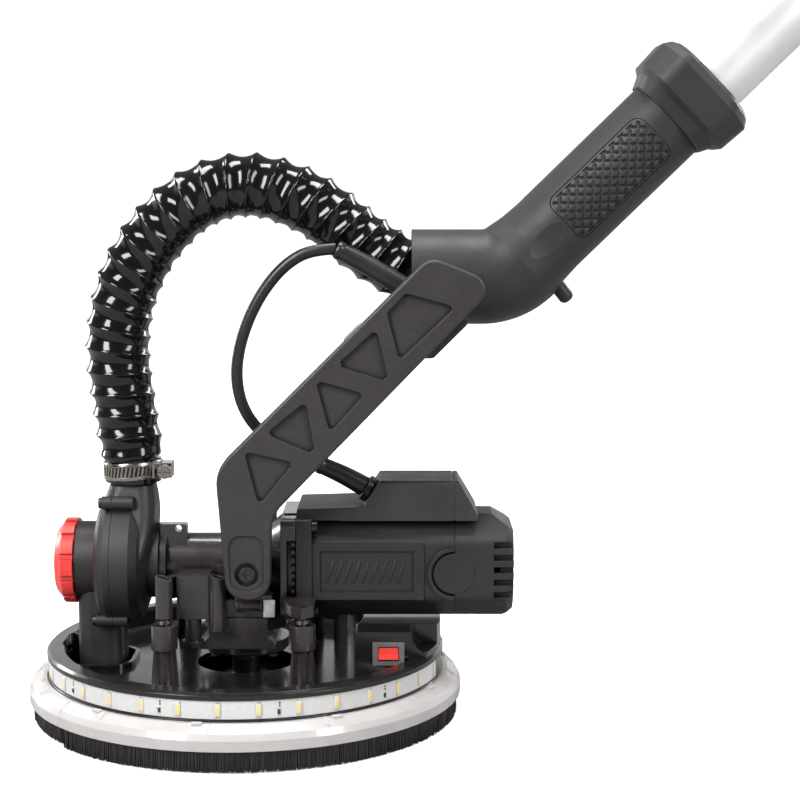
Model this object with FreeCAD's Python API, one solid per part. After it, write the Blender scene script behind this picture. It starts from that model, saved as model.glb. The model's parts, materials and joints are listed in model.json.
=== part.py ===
"""Pole drywall sander: a sanding head in a fork, an elbow grip and a telescopic pole.

Millimetres. The origin is the centre of the abrasive face, +Z goes up through the pad's spindle,
+X runs along the motor towards its end cap, and the near side of the tool faces -Y.
"""
import FreeCAD, Part
import os
from math import cos, pi, radians, sin, tan

V = FreeCAD.Vector
X, Y, Z = V(1, 0, 0), V(0, 1, 0), V(0, 0, 1)
ORIGIN = V(0, 0, 0)

# ---- driving dimensions ----
PAD_RADIUS = 112.5                 # standard 225 mm sanding disc
PAD_TOP = 13.0
SHAFT_Z = 91.0                     # motor and impeller axis
PIVOT_X, PIVOT_Z = 5.0, 93.3       # the head tilts about this axis, along Y
SPINDLE_RADIUS = 6.0
RUNNING = 0.05                     # radial clearance of a running fit
GAP = 0.3                          # space between pieces that move apart
PINION_TEETH = 9
CROWN_TEETH = 36
TOOTH_MODULE = 1.022
SHROUD_RADIUS = 119.0
DECK_Z = 29.0
DECK_HOLE = 30.0                   # hole in the deck for the spindle and the gear cover
RIM_Z = 42.0
CUP_TOP = 65.5                     # spring cups on the float posts
SLEEVE_LOW = 69.4                  # underside of the left posts' cast sleeves
POSTS = [(-42.0, -59.0), (37.0, -59.0), (-42.0, 59.0), (37.0, 59.0)]
BRUSH_INNER, BRUSH_OUTER = 121.3, 127.3
EDGE_HALF_ANGLE = 40.0             # the removable edge section spans twice this
ARM_INNER_Y = 43.5
NEAR_ARM_THICKNESS = 11.5
FAR_ARM_THICKNESS = 8.5
ELBOW_RADIUS = 28.0
ELBOW_LEFT = 99.8
ELBOW_BEND = V(154.6, 0, 261.6)
BEND_RADIUS = 33.0
SCOOP_RADIUS, SCOOP_DEPTH = 48.0, 1.9   # thumb scoop on each side of the elbow
POLE_ANGLE = 44.2                  # above the horizontal
GRIP_RADIUS = 25.0
WALL = 3.0
TUBE_RADIUS = 22.9                 # inner pole tube
COLLAR = (131.0, 165.0)            # places along the pole, from the elbow's bend
LOCK = (262.0, 306.0)
OUTER_TUBE = (270.0, 650.0)
REAR = (600.0, 862.0)
HOSE_RADIUS, HOSE_BORE = 19.75, 15.5
LEAD_RADIUS = 3.45
SHAFT = V(0, 0, SHAFT_Z)

HOSE_ROUTE = [(-67.5, 0, 158), (-72, 0, 186), (-76, 0, 219), (-71, 0, 253), (-55, 0, 284),
              (-28, 0, 310), (6, 0, 318), (41, 0, 306), (67, 0, 285), (86, 0, 271), (102, 0, 263.5)]
LEAD_ROUTE = [(56, -27, 279), (42, -27, 278.5), (28, -27, 271), (16, -26, 258), (6, -25, 241),
              (-1, -23, 221), (-3, -21, 202), (1, -18, 184), (11, -15, 170), (24, -12, 161),
              (34, -10, 156), (44, -9, 151)]
LEAD_INLET = (V(101, -29, 253.5), V(116.4, -30.1, 244.15))
ELBOW_RELIEF_ROUTE = [(101, -29, 253.5), (87, -28, 262), (72, -27, 271), (56.3, -27, 278.8)]
MOTOR_RELIEF_ROUTE = [(44.4, -9, 150.8), (54, -9, 146.8), (65, -9, 141.3), (76, -9, 134.8)]


# ---- shapes used throughout ----
def rod(radius, start, end):
    return Part.makeCylinder(radius, (end - start).Length, start, end - start)


def pipe(outer, inner, start, end):
    step = (end - start).normalize()
    return rod(outer, start, end).cut(rod(inner, start - step, end + step))


def block(x, y, z):
    return Part.makeBox(x[1] - x[0], y[1] - y[0], z[1] - z[0], V(x[0], y[0], z[0]))


def at_y(y):
    return lambda u, v: V(u, y, v)


def at_x(x):
    return lambda u, v: V(x, u, v)


def at_z(z):
    return lambda u, v: V(u, v, z)


def rounded_wire(points, radii, place):
    """A closed outline whose corners are rounded, each to its own radius."""
    corners = [place(*point) for point in points]
    if not isinstance(radii, list):
        radii = [radii] * len(corners)
    arcs = []
    for index, corner in enumerate(corners):
        before = (corners[index - 1] - corner).normalize()
        after = (corners[(index + 1) % len(corners)] - corner).normalize()
        half = before.getAngle(after) / 2
        reach = radii[index] / tan(half)
        inward = (before + after).normalize()
        middle = corner + inward * (radii[index] / sin(half) - radii[index])
        arcs.append((corner + before * reach, middle, corner + after * reach))
    edges = []
    for index, (start, middle, end) in enumerate(arcs):
        if radii[index]:
            edges.append(Part.Arc(start, middle, end).toShape())
        edges.append(Part.makeLine(end, arcs[(index + 1) % len(arcs)][0]))
    return Part.Wire(edges)


def slab(points, radii, place, along):
    return Part.Face(rounded_wire(points, radii, place)).extrude(along)


def turned(profile, origin=ORIGIN, axis=Z):
    """A full turn of a closed outline of (distance along the axis, radius) points."""
    side = axis.cross(X) if abs(axis.y) > 0.9 else axis.cross(Y)
    points = [origin + axis * along + side * radius for along, radius in profile]
    return Part.Face(Part.makePolygon(points + [points[0]])).revolve(origin, axis, 360)


def around(shape, count, axis=Z, centre=ORIGIN, start=0.0):
    """The same shape, repeated at equal angles."""
    copies = []
    for index in range(count):
        copy = shape.copy()
        copy.rotate(centre, axis, start + 360.0 * index / count)
        copies.append(copy)
    return copies


def both_sides(shape):
    return [shape, shape.mirror(ORIGIN, Y)]


def wedge(centre_angle, half_angle, z, reach=150.0):
    """A slice of pie about Z, to cut a stretch out of a ring."""
    low, high = radians(centre_angle - half_angle), radians(centre_angle + half_angle)
    points = [(0, 0), (reach * cos(low), reach * sin(low)),
              (2 * reach * cos(radians(centre_angle)), 2 * reach * sin(radians(centre_angle))),
              (reach * cos(high), reach * sin(high))]
    return slab(points, 0, at_z(z[0]), V(0, 0, z[1] - z[0]))


def route_wire(route, name):
    """Straight runs joined by tangent arcs, each as large as its two runs allow."""
    points = [V(*point) for point in route]
    edges, here, radii = [], points[0], []
    for before, corner, after in zip(points, points[1:], points[2:]):
        back, ahead = (before - corner), (after - corner)
        shorter = min(back.Length, ahead.Length)
        back.normalize()
        ahead.normalize()
        half_turn = (pi - back.getAngle(ahead)) / 2
        reach = 0.45 * shorter
        radius = reach / tan(half_turn)
        radii.append(round(radius))
        start, end = corner + back * reach, corner + ahead * reach
        inward = (back + ahead).normalize()
        middle = corner + inward * (radius / cos(half_turn) - radius)
        edges.append(Part.makeLine(here, start))
        edges.append(Part.Arc(start, middle, end).toShape())
        here = end
    edges.append(Part.makeLine(here, points[-1]))
    print(name, "arc radii", radii, "length", round(sum(edge.Length for edge in edges), 1))
    return Part.Wire(edges)


def swept(route, radius, name, bore=0.0):
    wire = route_wire(route, name)
    heading = V(*route[1]) - V(*route[0])
    tubes = [wire.makePipe(Part.Face(Part.Wire(Part.makeCircle(size, V(*route[0]), heading))))
             for size in (radius, bore) if size]
    tube = tubes[0].cut(tubes[1]) if bore else tubes[0]
    expected = pi * (radius ** 2 - bore ** 2) * wire.Length
    print(name, "volume over section times length", round(tube.Volume / expected, 4))
    return tube


def on_pole(shape):
    """Moves a shape from its own frame, +Z along the pole and +X under it, to the pole."""
    turn = FreeCAD.Rotation(Y, 90.0 - POLE_ANGLE)
    shape.Placement = FreeCAD.Placement(ELBOW_BEND, turn).multiply(shape.Placement)
    return shape


def fuse(first, *others):
    return first.fuse(list(others)) if others else first


def cut(shape, *tools):
    return shape.cut(list(tools))


def save(name, *shapes):
    whole = shapes[0] if len(shapes) == 1 else Part.makeCompound(shapes)
    assert whole.isValid() and whole.Solids, name
    whole.exportStep(f"parts/{name}.step")


# ---- pad: it turns on the spindle ----
def dust_holes(z):
    inner = around(rod(5, V(52, 0, z[0]), V(52, 0, z[1])), 8)
    outer = around(rod(5, V(88, 0, z[0]), V(88, 0, z[1])), 8, start=22.5)
    return inner + outer


def abrasive_disc():
    return cut(rod(PAD_RADIUS, ORIGIN, V(0, 0, 1.5)), *dust_holes((-1, 3)))


def foam_pad():
    disc = pipe(PAD_RADIUS, 15, V(0, 0, 1.52), V(0, 0, 8.98))
    return cut(disc, *dust_holes((0, 10)))


def backing_plate():
    plate = turned([(9, 4.05), (9, 109), (10.5, 111), (11, 111), (PAD_TOP, 100), (PAD_TOP, 24),
                    (17, 20), (17, 4.05)])
    return cut(plate, *dust_holes((8, 18)))


def spindle():
    body = turned([(17, 0), (17, 17), (20, 17), (20, 9), (36, 9), (37, SPINDLE_RADIUS),
                   (84, SPINDLE_RADIUS), (84, 0)])
    return cut(body, rod(4, V(0, 0, 16), V(0, 0, 30)))


def pad_screw():
    screw = turned([(4, 0), (4, 9), (5, 11), (8.9, 11), (8.9, 4), (29, 4), (29, 0)])
    socket = slab([(4.2 * cos(radians(a)), 4.2 * sin(radians(a))) for a in range(0, 360, 60)], 0,
                  at_z(3), V(0, 0, 4))
    return cut(screw, socket)


def crown_gear():
    """Face gear under the shaft; its teeth stand up and point at the spindle."""
    pitch_radius = TOOTH_MODULE * CROWN_TEETH / 2
    pitch_z = SHAFT_Z - TOOTH_MODULE * PINION_TEETH / 2
    root_z, tip_z = pitch_z - 1.2, pitch_z + 0.8
    body = turned([(74, SPINDLE_RADIUS + 0.01), (74, 11), (78, 12), (79, 21), (root_z, 21), (root_z, 15.5),
                   (83, 14), (83, SPINDLE_RADIUS + 0.01)])
    half_root, half_tip = 0.8, 0.3
    tooth = slab([(-half_root, root_z - 0.2), (half_root, root_z - 0.2), (half_tip, tip_z), (-half_tip, tip_z)],
                 0, at_x(pitch_radius - 2.6), V(5.0, 0, 0))
    return fuse(body, *around(tooth, CROWN_TEETH))


# ---- rotor: one shaft carries the motor, the pinion and the dust impeller ----
def rotor_shaft():
    return turned([(-78, 0), (-78, 4), (-24, 4), (-24, 2.5), (21.4, 2.5), (21.4, 4), (148, 4), (148, 0)],
                  SHAFT, X)


def drive_pinion():
    start = TOOTH_MODULE * CROWN_TEETH / 2 - 2.5
    pitch = TOOTH_MODULE * PINION_TEETH / 2
    core = pipe(pitch - 1.15, 2.51, V(start, 0, SHAFT_Z), V(start + 5, 0, SHAFT_Z))
    tooth = slab([(-0.75, pitch - 1.3), (0.75, pitch - 1.3), (0.5, pitch), (0.2, pitch + 0.8),
                  (-0.2, pitch + 0.8), (-0.5, pitch)], 0,
                 lambda u, v: V(start, u, SHAFT_Z + v), V(5, 0, 0))
    return fuse(core, *around(tooth, PINION_TEETH, X, SHAFT))


def armature():
    return turned([(62, 4.02), (62, 19), (98, 19), (99, 12), (104, 12), (104, 11), (116, 11), (116, 4.02)],
                  SHAFT, X)


def fan_blades(x, inner, outer, count, lean):
    blade = block(x, (-0.8, 0.8), (SHAFT_Z + inner, SHAFT_Z + outer))
    blade.rotate(V(0, 0, SHAFT_Z + inner), X, lean)
    return around(blade, count, X, SHAFT)


def cooling_fan():
    hub = turned([(44, 4.02), (44, 24), (46, 24), (46, 10), (56, 8), (56, 4.02)], SHAFT, X)
    return fuse(hub, *fan_blades((45.5, 55), 9, 23, 10, 0))


def suction_impeller():
    hub = turned([(-63, 4.02), (-63, 31), (-65, 31), (-66, 12), (-76, 8), (-76, 4.02)], SHAFT, X)
    return fuse(hub, *fan_blades((-76, -64.5), 11, 29, 9, 20))


# ---- gear housing and what it holds ----
def bearings():
    rings = []
    for z in (39, 60):
        rings.append(pipe(13, SPINDLE_RADIUS + RUNNING, V(0, 0, z), V(0, 0, z + 8)))
    for x in (-44, 34, 138):
        rings.append(pipe(9, 4 + RUNNING, V(x, 0, SHAFT_Z), V(x + 6, 0, SHAFT_Z)))
    return rings


def open_sleeve(x, y, radius, z, lean):
    """A cast sleeve with a bore and a slanted open top."""
    bore = rod(radius - 1.3, V(x, y, z[0] + 10), V(x, y, z[1] + 1))
    sleeve = cut(rod(radius, V(x, y, z[0]), V(x, y, z[1])), bore)
    slope = slab([(x - 9, z[1] + lean), (x + 9, z[1] - 2 * lean), (x + 9, z[1] + 9), (x - 9, z[1] + 9)], 0,
                 at_y(y - 9), V(0, 18, 0))
    return sleeve.cut(slope)


def near_castings():
    """The sleeves, block and ledges on one side of the gear housing."""
    return [
        open_sleeve(-42, -59, 4.9, (SLEEVE_LOW, 94), 2.2),
        slab([(-44, -57), (-40.4, -57), (-40.4, -40), (-34, -34), (-30, -26), (-36, -26), (-44, -37)], 0,
             at_z(76), V(0, 0, 13)),
        block((-36.8, -18.2), (-42, -20), (64.4, 89.6)),
        rod(4.9, V(-28, -37, 50), V(-28, -37, 65)),
        rod(6.2, V(-28, -37, 47.5), V(-28, -37, 51)),
        open_sleeve(-13.4, -41, 4.6, (57.4, 90.5), 1.8),
        block((-18, -9), (-40, -20), (60, 86)),
        block((-9, 16), (-34, -20), (62, 74)),
        block((-3.4, 18), (-38, -22), (74, 77.6)),
        block((-19, 15.3), (-36, 0), (50, 63.4)),
        slab([(-24, 45), (20, 45), (20, 48), (15.3, 52), (-19, 52), (-24, 48)], 0, at_y(-36), V(0, 36, 0)),
        slab([(24, -28), (31.8, -28), (31.8, -33.4), (43.5, -33.4), (43.5, -59), (37, -65.5), (30.5, -59),
              (24, -40)], 0, at_z(70), V(0, 0, 6)),
    ]


def gear_housing():
    neck = rod(16.5, V(-48, 0, SHAFT_Z), V(24, 0, SHAFT_Z))
    bell = turned([(10, 0), (10, 18), (23, 29), (26, 29), (26, 0)], SHAFT, X)
    flange = slab([(-33, 61.3), (33, 61.3), (33, 121.6), (-33, 121.6)], 4, at_x(23), V(8.8, 0, 0))
    window = [block((26.4, 31.9), y, (71.5, 109)) for y in ((-34, -28), (28, 34))]
    top_notch = block((24, 33), (-20, -12), (116, 122))
    gearbox = rod(25, V(0, 0, 52), V(0, 0, 92))
    pivots = rod(11, V(PIVOT_X, -ARM_INNER_Y + GAP, PIVOT_Z), V(PIVOT_X, ARM_INNER_Y - GAP, PIVOT_Z))
    lug = slab([(-49.8, 107), (-34, 107), (-34, 115), (-49.8, 115)], [0, 1.5, 1.5, 0], at_y(-12), V(0, 8, 0))
    lug_root = block((-48, -34), (-12, -4), (100, 108))
    end_flange = rod(20.5, V(-50, 0, SHAFT_Z), V(-46, 0, SHAFT_Z))
    casting = [side for piece in near_castings() for side in both_sides(piece)]
    body = fuse(neck, bell, flange, gearbox, pivots, lug, lug_root, end_flange, *casting)
    cavities = [
        rod(9, V(-52, 0, SHAFT_Z), V(40, 0, SHAFT_Z)),
        rod(13, V(0, 0, 60), V(0, 0, 75)),
        rod(22.3, V(0, 0, 72), V(0, 0, 89)),
        rod(10, V(0, 0, 44), V(0, 0, 61)),
        rod(13, V(0, 0, 44), V(0, 0, 47)),
        rod(2, V(-39, -20, 112.4), V(-39, 0, 112.4)),
    ]
    cavities += [rod(4 + RUNNING, V(PIVOT_X, y, PIVOT_Z), V(PIVOT_X, y + 34, PIVOT_Z)) for y in (-60, 26)]
    cavities += [rod(3, V(x, y, 69), V(x, y, 78)) for x, y in POSTS]
    cavities += [rod(1.9, V(22, y, z), V(34, y, z)) for y, z in FLANGE_SCREWS]
    return cut(body, *window, *cavities, top_notch)


def gear_cover():
    """Bottom plate that holds the lower spindle bearing."""
    cover = turned([(37, 10), (37, 24), (39, 26), (44.9, 26), (44.9, 13), (39, 13), (39, 10)])
    return cut(cover, *[rod(2, V(x, y, 36), V(x, y, 46)) for x in (-17, 17) for y in (-14, 14)])


def screw(head_radius, head_length, radius, length, seat, axis):
    """A cap screw whose head stands on its seat and whose shank runs back along the axis."""
    head = rod(head_radius, seat, seat + axis * head_length)
    recess = rod(head_radius * 0.5, seat + axis * (head_length * 0.5), seat + axis * (head_length + 1))
    return fuse(head.cut(recess), rod(radius, seat - axis * length, seat + axis * 0.01))


FLANGE_SCREWS = [(-29.5, 116.5), (29.5, 116.5), (-27.5, 65.5), (27.5, 65.5)]
VOLUTE_SCREWS = [(-83.0, -18.5, 129), (-83.0, 18.5, 129), (-86.9, -22, 59), (-86.9, 22, 59)]


def housing_screws():
    screws = [screw(3.2, 2, 1.7, 17.4, V(*seat), V(-1, 0, 0)) for seat in VOLUTE_SCREWS]
    screws += [screw(3, 1.5, 1.9, 8, V(x, y, 37), V(0, 0, -1)) for x in (-17, 17) for y in (-14, 14)]
    screws += [screw(3.6, 3, 1.9, 14, V(41.4, y, z), X) for y, z in FLANGE_SCREWS]
    return screws


def float_bolts():
    return [rod(3, V(x, y, 47), V(x, y, 76)) for x, y in POSTS]


# ---- dust suction: volute, duct, spigot and clamp ----
PORT_END = -100.3


def volute_solid(shrink):
    """The snail casing, or with a wall's thickness taken off, the space inside it."""
    left, right = -86.7 + shrink, -57.5 - shrink
    scroll = turned([(left, 0), (left, 33 - shrink), (left + 2.5, 36.8 - shrink), (left + 6, 38.5 - shrink),
                     (-66, 38.5 - shrink), (-61.5, 34 - shrink), (right, 24 - shrink), (right, 0)], SHAFT, X)
    levels = [(96, -86, -58, 33, 8), (120, -85.5, -53, 21, 8), (138, -80.3, -54, 13.5, 9)]
    wires = []
    for z, low, high, half, radius in levels:
        low, high, half = low + shrink, high - shrink, half - shrink
        wires.append(rounded_wire([(low, -half), (high, -half), (high, half), (low, half)],
                                  radius - shrink / 2, at_z(z)))
    return scroll.fuse(Part.makeLoft(wires, True, False))


def volute():
    """Both halves of the casing, still in one piece, with the inlet port and the spigot."""
    port = rod(23.5, V(PORT_END, 0, SHAFT_Z), V(-85, 0, SHAFT_Z))
    flange = rod(22.5, V(-58.5, 0, SHAFT_Z), V(-50.3, 0, SHAFT_Z))
    spigot = rod(13, V(-67, 0, 137), V(-67, 0, 150))
    bosses = [rod(3.9, V(x, y, z), V(x + 18.4, y, z)) for x, y, z in VOLUTE_SCREWS]
    body = fuse(volute_solid(0), port, flange, spigot, *bosses)
    holes = [rod(1.7, V(x - 1, y, z), V(x + 17.5, y, z)) for x, y, z in VOLUTE_SCREWS]
    body = cut(body, volute_solid(WALL - 0.4), rod(20.5, V(PORT_END + WALL, 0, SHAFT_Z), V(-80, 0, SHAFT_Z)),
               rod(11, V(-62, 0, SHAFT_Z), V(-49, 0, SHAFT_Z)), rod(10.6, V(-67, 0, 130), V(-67, 0, 151)),
               *holes)
    return cut(body, rod(6.2, V(PORT_END - 1, 0, SHAFT_Z), V(PORT_END + 4, 0, SHAFT_Z)),
               block((-97, -88), (-14, 14), (60, 75)))


def volute_half(side):
    seam = -77.0
    keep = (-120, seam - 0.1) if side == "outer" else (seam + 0.1, -40)
    return volute().common(block(keep, (-60, 60), (40, 160)))


def suction_duct():
    """Upright duct from the shroud's opening to the inlet port."""
    outline = [(-100, -17), (-73, -17), (-73, 17), (-100, 17)]
    inside = [(-97.5, -14.5), (-75.5, -14.5), (-75.5, 14.5), (-97.5, 14.5)]
    duct = slab(outline, 9, at_z(22), V(0, 0, 58)).cut(slab(inside, 7, at_z(21), V(0, 0, 60)))
    clear_of = [rod(23.55, V(-110, 0, SHAFT_Z), V(-80, 0, SHAFT_Z)),
                rod(38.6, V(-86.75, 0, SHAFT_Z), V(-60, 0, SHAFT_Z))]
    bosses = [rod(4, V(-88, y, 59), V(-60, y, 59)) for y in (-22, 22)]
    return cut(duct, *clear_of, *bosses)


def suction_knob():
    """Ribbed cap on the inlet port; its stem turns in the port's end."""
    face, back = PORT_END - 12, PORT_END - GAP
    knob = turned([(face, 0), (face, 19), (face + 4.5, 24.4), (back, 24.4), (back, 6), (back + 3.8, 6),
                   (back + 3.8, 0)], SHAFT, X)
    rib = turned([(face + 1, 18), (face + 4.7, 25.6), (back, 25.6), (back, 18)], SHAFT, X)
    sector = block((-120, -90), (-4.6, 4.6), (SHAFT_Z, SHAFT_Z + 30))
    return fuse(knob, *[rib.common(piece) for piece in around(sector, 12, X, SHAFT)])


def hose_cuff():
    return pipe(16.6, 13.05, V(-67, 0, 139.5), V(-67, 0, 153.6))


def hose_clamp_band():
    return pipe(17.6, 16.65, V(-67, 0, 141.5), V(-67, 0, 152))


def clamp_screw():
    """Worm housing and its hexagon screw, on the band's right side."""
    housing = block((-50.5, -43), (-9, 5), (142.3, 151.2))
    worm = rod(2.6, V(-46.5, -12, 146.8), V(-46.5, 8, 146.8))
    head = rod(4.2, V(-46.5, -15, 146.8), V(-46.5, -12, 146.8))
    slot = block((-52, -40), (-16, -14), (146.3, 147.3))
    strap = pipe(18.6, 17.65, V(-67, 0, 142.5), V(-67, 0, 151))
    strap = strap.common(block((-56, -40), (-12, 8), (140, 155)))
    return fuse(housing.cut(rod(17.65, V(-67, 0, 140), V(-67, 0, 155))), worm, strap, head).cut(slot)


# ---- motor ----
MOTOR_SECTION = [(-31, 73.5), (-31, 108), (-14.5, 121.6), (14.5, 121.6), (31, 108), (31, 73.5), (14, 60.4),
                 (-14, 60.4)]


def top_box(x, low, high):
    """The raised box on the motor, with sloping ends and sides."""
    side = slab(x, 1.2, at_y(-30), V(0, 60, 0))
    end = slab([(-28, low), (-21.5, high), (21.5, high), (28, low)], [0, 3, 3, 0], at_x(20), V(130, 0, 0))
    return side.common(end)


def motor_shell():
    body = slab(MOTOR_SECTION, 6, at_x(32.2), V(92.7, 0, 0))
    flange = slab([(-33, 61.3), (33, 61.3), (33, 121.6), (-33, 121.6)], 4, at_x(32.2), V(9, 0, 0))
    ridge = top_box([(32.3, 119.8), (32.3, 126.5), (75, 127.8), (80, 119.8)], 119, 142.4)
    box = top_box([(64, 119.8), (70, 125), (80.9, 142.4), (124.9, 142.4), (124.9, 119.8)], 119, 142.4)
    panels = [block((41, 107), y, (73.5, 107)) for y in ((-31.8, -30), (30, 31.8))]
    recesses = [block((46, 101), y, (78, 102.5)) for y in ((-32, -30.7), (30.7, 32))]
    boss = [rod(15.6, V(124.8, 32.4 * side, 89), V(124.8, 29 * side, 89)) for side in (-1, 1)]
    keep = block((30, 124.9), (-40, 40), (50, 150))
    pockets = []
    for y, z in FLANGE_SCREWS:
        centre = V(0, y * 1.05, z)
        pockets.append(turned([(41.3, 0), (41.3, 5), (57, 5), (64.5, 0)], centre, X))
    body = fuse(body, flange, ridge, box, *panels, *boss).common(keep)
    notches = [rod(13.4, V(124.8, 34 * side, 89), V(124.8, 27.5 * side, 89)) for side in (-1, 1)]
    inside = [rod(26.6, V(31, 0, SHAFT_Z), V(130, 0, SHAFT_Z)), block((84, 130), (-17, 17), (112, 138))]
    holes = [rod(1.9, V(30, y, z), V(44, y, z)) for y, z in FLANGE_SCREWS]
    return cut(body, *recesses, *notches, *inside, *pockets, *holes)


def motor_end_cap():
    body = slab(MOTOR_SECTION, 6, at_x(125.1), V(34.9, 0, 0))
    trimmer = turned([(120, 0), (120, 50), (147.5, 50), (147.5, 42), (160, 29.5), (160, 0)], SHAFT, X)
    chamfer = slab([(120, 58), (149, 58), (160.2, 64.5), (160.2, 113), (147, 122), (120, 122)], 1.0, at_y(-40),
                   V(0, 80, 0))
    body = body.common(chamfer).common(trimmer)
    box = top_box([(125.1, 119.8), (125.1, 142.4), (127.5, 142.4), (139, 122.4), (139, 119.8)], 119, 142.4)
    discs = [rod(12, V(124.8, 31.4 * side, 89), V(124.8, 27.5 * side, 89)) for side in (-1, 1)]
    slots = [block((148, 163), y, (z - 1.9, z + 1.9)) for y in ((-34, -26.5), (26.5, 34))
             for z in (76.2, 83.6, 91.0, 98.4, 105.8)]
    inside = turned([(120, 0), (120, 26.6), (152, 26.6), (157, 20), (157, 0)], SHAFT, X)
    bearing_seat = pipe(12, 9, V(136, 0, SHAFT_Z), V(158, 0, SHAFT_Z))
    return fuse(cut(fuse(body, box, *discs), inside, *slots), bearing_seat)


def stator():
    ring = pipe(26.3, 20, V(58, 0, SHAFT_Z), V(102, 0, SHAFT_Z))
    return cut(ring, *[block((50, 110), y, (SHAFT_Z - 4, SHAFT_Z + 4)) for y in ((-30, -24), (24, 30))])


def carbon_brushes():
    return [block((106, 113), y, (SHAFT_Z - 3, SHAFT_Z + 3)) for y in ((-22, -11.3), (11.3, 22))]


def relief(route, tip_radius, base_radius, name):
    """Strain relief: a sleeve along the lead and a collar where it is held."""
    sleeve = swept(route, tip_radius, name)
    base, before = V(*route[-1]), V(*route[-2])
    back = (before - base).normalize()
    return sleeve.fuse(rod(base_radius, base, base + back * 3.5))


# ---- shroud: it floats on four sprung posts ----
def float_post(x, y):
    foot = DECK_Z + 0.02
    column = fuse(rod(7.6, V(x, y, 51.5), V(x, y, CUP_TOP)), rod(4.8, V(x, y, foot), V(x, y, 52)),
                  rod(7.2, V(x, y, foot), V(x, y, foot + 2)))
    rib = slab([(0, foot), (8.6, foot), (6.6, 50.5), (6.6, 53), (0, 53)], 0, at_y(-1.1), V(0, 2.2, 0))
    ribs = []
    for turn in (35, 145, 215, 325):
        arm = rib.copy()
        arm.rotate(ORIGIN, Z, turn)
        arm.translate(V(x, y, 0))
        ribs.append(arm)
    return cut(fuse(column, *ribs), rod(3.1, V(x, y, 40), V(x, y, 70)))


def shroud():
    r = SHROUD_RADIUS
    body = turned([(26, DECK_HOLE), (DECK_Z, DECK_HOLE), (DECK_Z, 104), (31, 106.5), (40, 107.5), (RIM_Z, 109),
                   (RIM_Z, r - 1.5),
                   (40.5, r), (38, r), (38, r - 1.7), (27.2, r - 1.7), (27.2, r), (14.5, r), (14.5, r - 2.7),
                   (24, r - 2.7), (26, r - 4.7), (39, r - 4.7), (39, 110.7), (26, 109.3)])
    duct_opening = slab([(-110, -21), (-69, -21), (-69, 21), (-110, 21)], 12, at_z(20), V(0, 0, 30))
    lip = slab([(-112.5, -23.5), (-66.5, -23.5), (-66.5, 23.5), (-112.5, 23.5)], 14, at_z(26), V(0, 0, 6))
    return fuse(body, lip).cut(duct_opening)


def switch_cover():
    """Raised compartment on the right of the shroud, which holds the light switch."""
    foot, top, low_top, outer = DECK_Z + 0.02, 57.5, 56.5, SHROUD_RADIUS - 1.6
    near = block((66.5, 119), (-45, -22), (foot, top))
    rounding = slab([(66.5, DECK_Z), (66.5, top), (120, top), (120, DECK_Z)], [0, 2.5, 0, 0], at_y(-50),
                    V(0, 80, 0))
    sweep = pipe(outer, 71, V(0, 0, foot), V(0, 0, low_top)).common(wedge(12, 32, (0, 80)))
    body = fuse(near.common(rounding), sweep).common(rod(outer, ORIGIN, V(0, 0, 80)))
    rim_space = turned([(20, 103), (42.02, 103), (42.02, 130), (20, 130)])
    corner = slab([(99.5, top - 3), (101.5, top - 8.5), (106, top - 12), (130, top - 12), (130, 70), (99.5, 70)],
                  0, at_y(-50), V(0, 26, 0))
    inside = fuse(block((69, 97), (-42.5, -24.5), (DECK_Z - 1, top - 2.5)),
                  pipe(100, 73.5, V(0, 0, DECK_Z - 1), V(0, 0, low_top - 2.5)).common(wedge(12, 29, (0, 80))))
    opening = block((78.3, 94.3), (-46, -41), (39, 50.6))
    screw_hole = rod(2, V(103, -40, 30), V(103, -40, 60))
    return cut(body, rim_space, corner, inside, opening, screw_hole)


def rocker_frame():
    frame = block((77.05, 95.55), (-46.2, -45.02), (37.9, 51.7))
    sleeve = block((78.5, 94.1), (-45.1, -33), (39.2, 50.4))
    return cut(fuse(frame, sleeve), block((80.3, 92.3), (-48, -34.5), (40.6, 49.0)))


def rocker():
    """Its face is bent in the middle, so that one half stands out and the other is pressed in."""
    return slab([(-44.5, 41.4), (-47.2, 41.6), (-46, 44.8), (-45.7, 48.3), (-44.5, 48.3), (-39, 46), (-39, 43.6)],
                0, at_x(80.6), V(11.4, 0, 0))


def led_strip():
    strip = pipe(SHROUD_RADIUS - 0.9, SHROUD_RADIUS - 1.65, V(0, 0, 27.5), V(0, 0, 37.7))
    return strip.cut(wedge(0, 15, (20, 50)))


def ring_profile(inner):
    return [(26, inner), (26, 121.5), (22.3, 127.8), (18.7, 129.6), (12.75, 129.6), (12.75, 127.5),
            (17.6, 127.5), (20.2, 126.2), (23.6, 121.2), (23.6, inner)]


def edge_slot(extra):
    return wedge(180, EDGE_HALF_ANGLE + extra, (-5, 40))


def clear_ring():
    return turned(ring_profile(SHROUD_RADIUS + 0.02)).cut(edge_slot(0.1))


def edge_ring():
    return turned(ring_profile(SHROUD_RADIUS + GAP)).common(edge_slot(-0.1))


def brush(low):
    return pipe(BRUSH_OUTER, BRUSH_INNER, V(0, 0, low), V(0, 0, 17.4))


def float_springs():
    return [pipe(5.4, 3.3, V(x, y, CUP_TOP + 0.1), V(x, y, SLEEVE_LOW - 0.1)) for x, y in POSTS]


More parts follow.
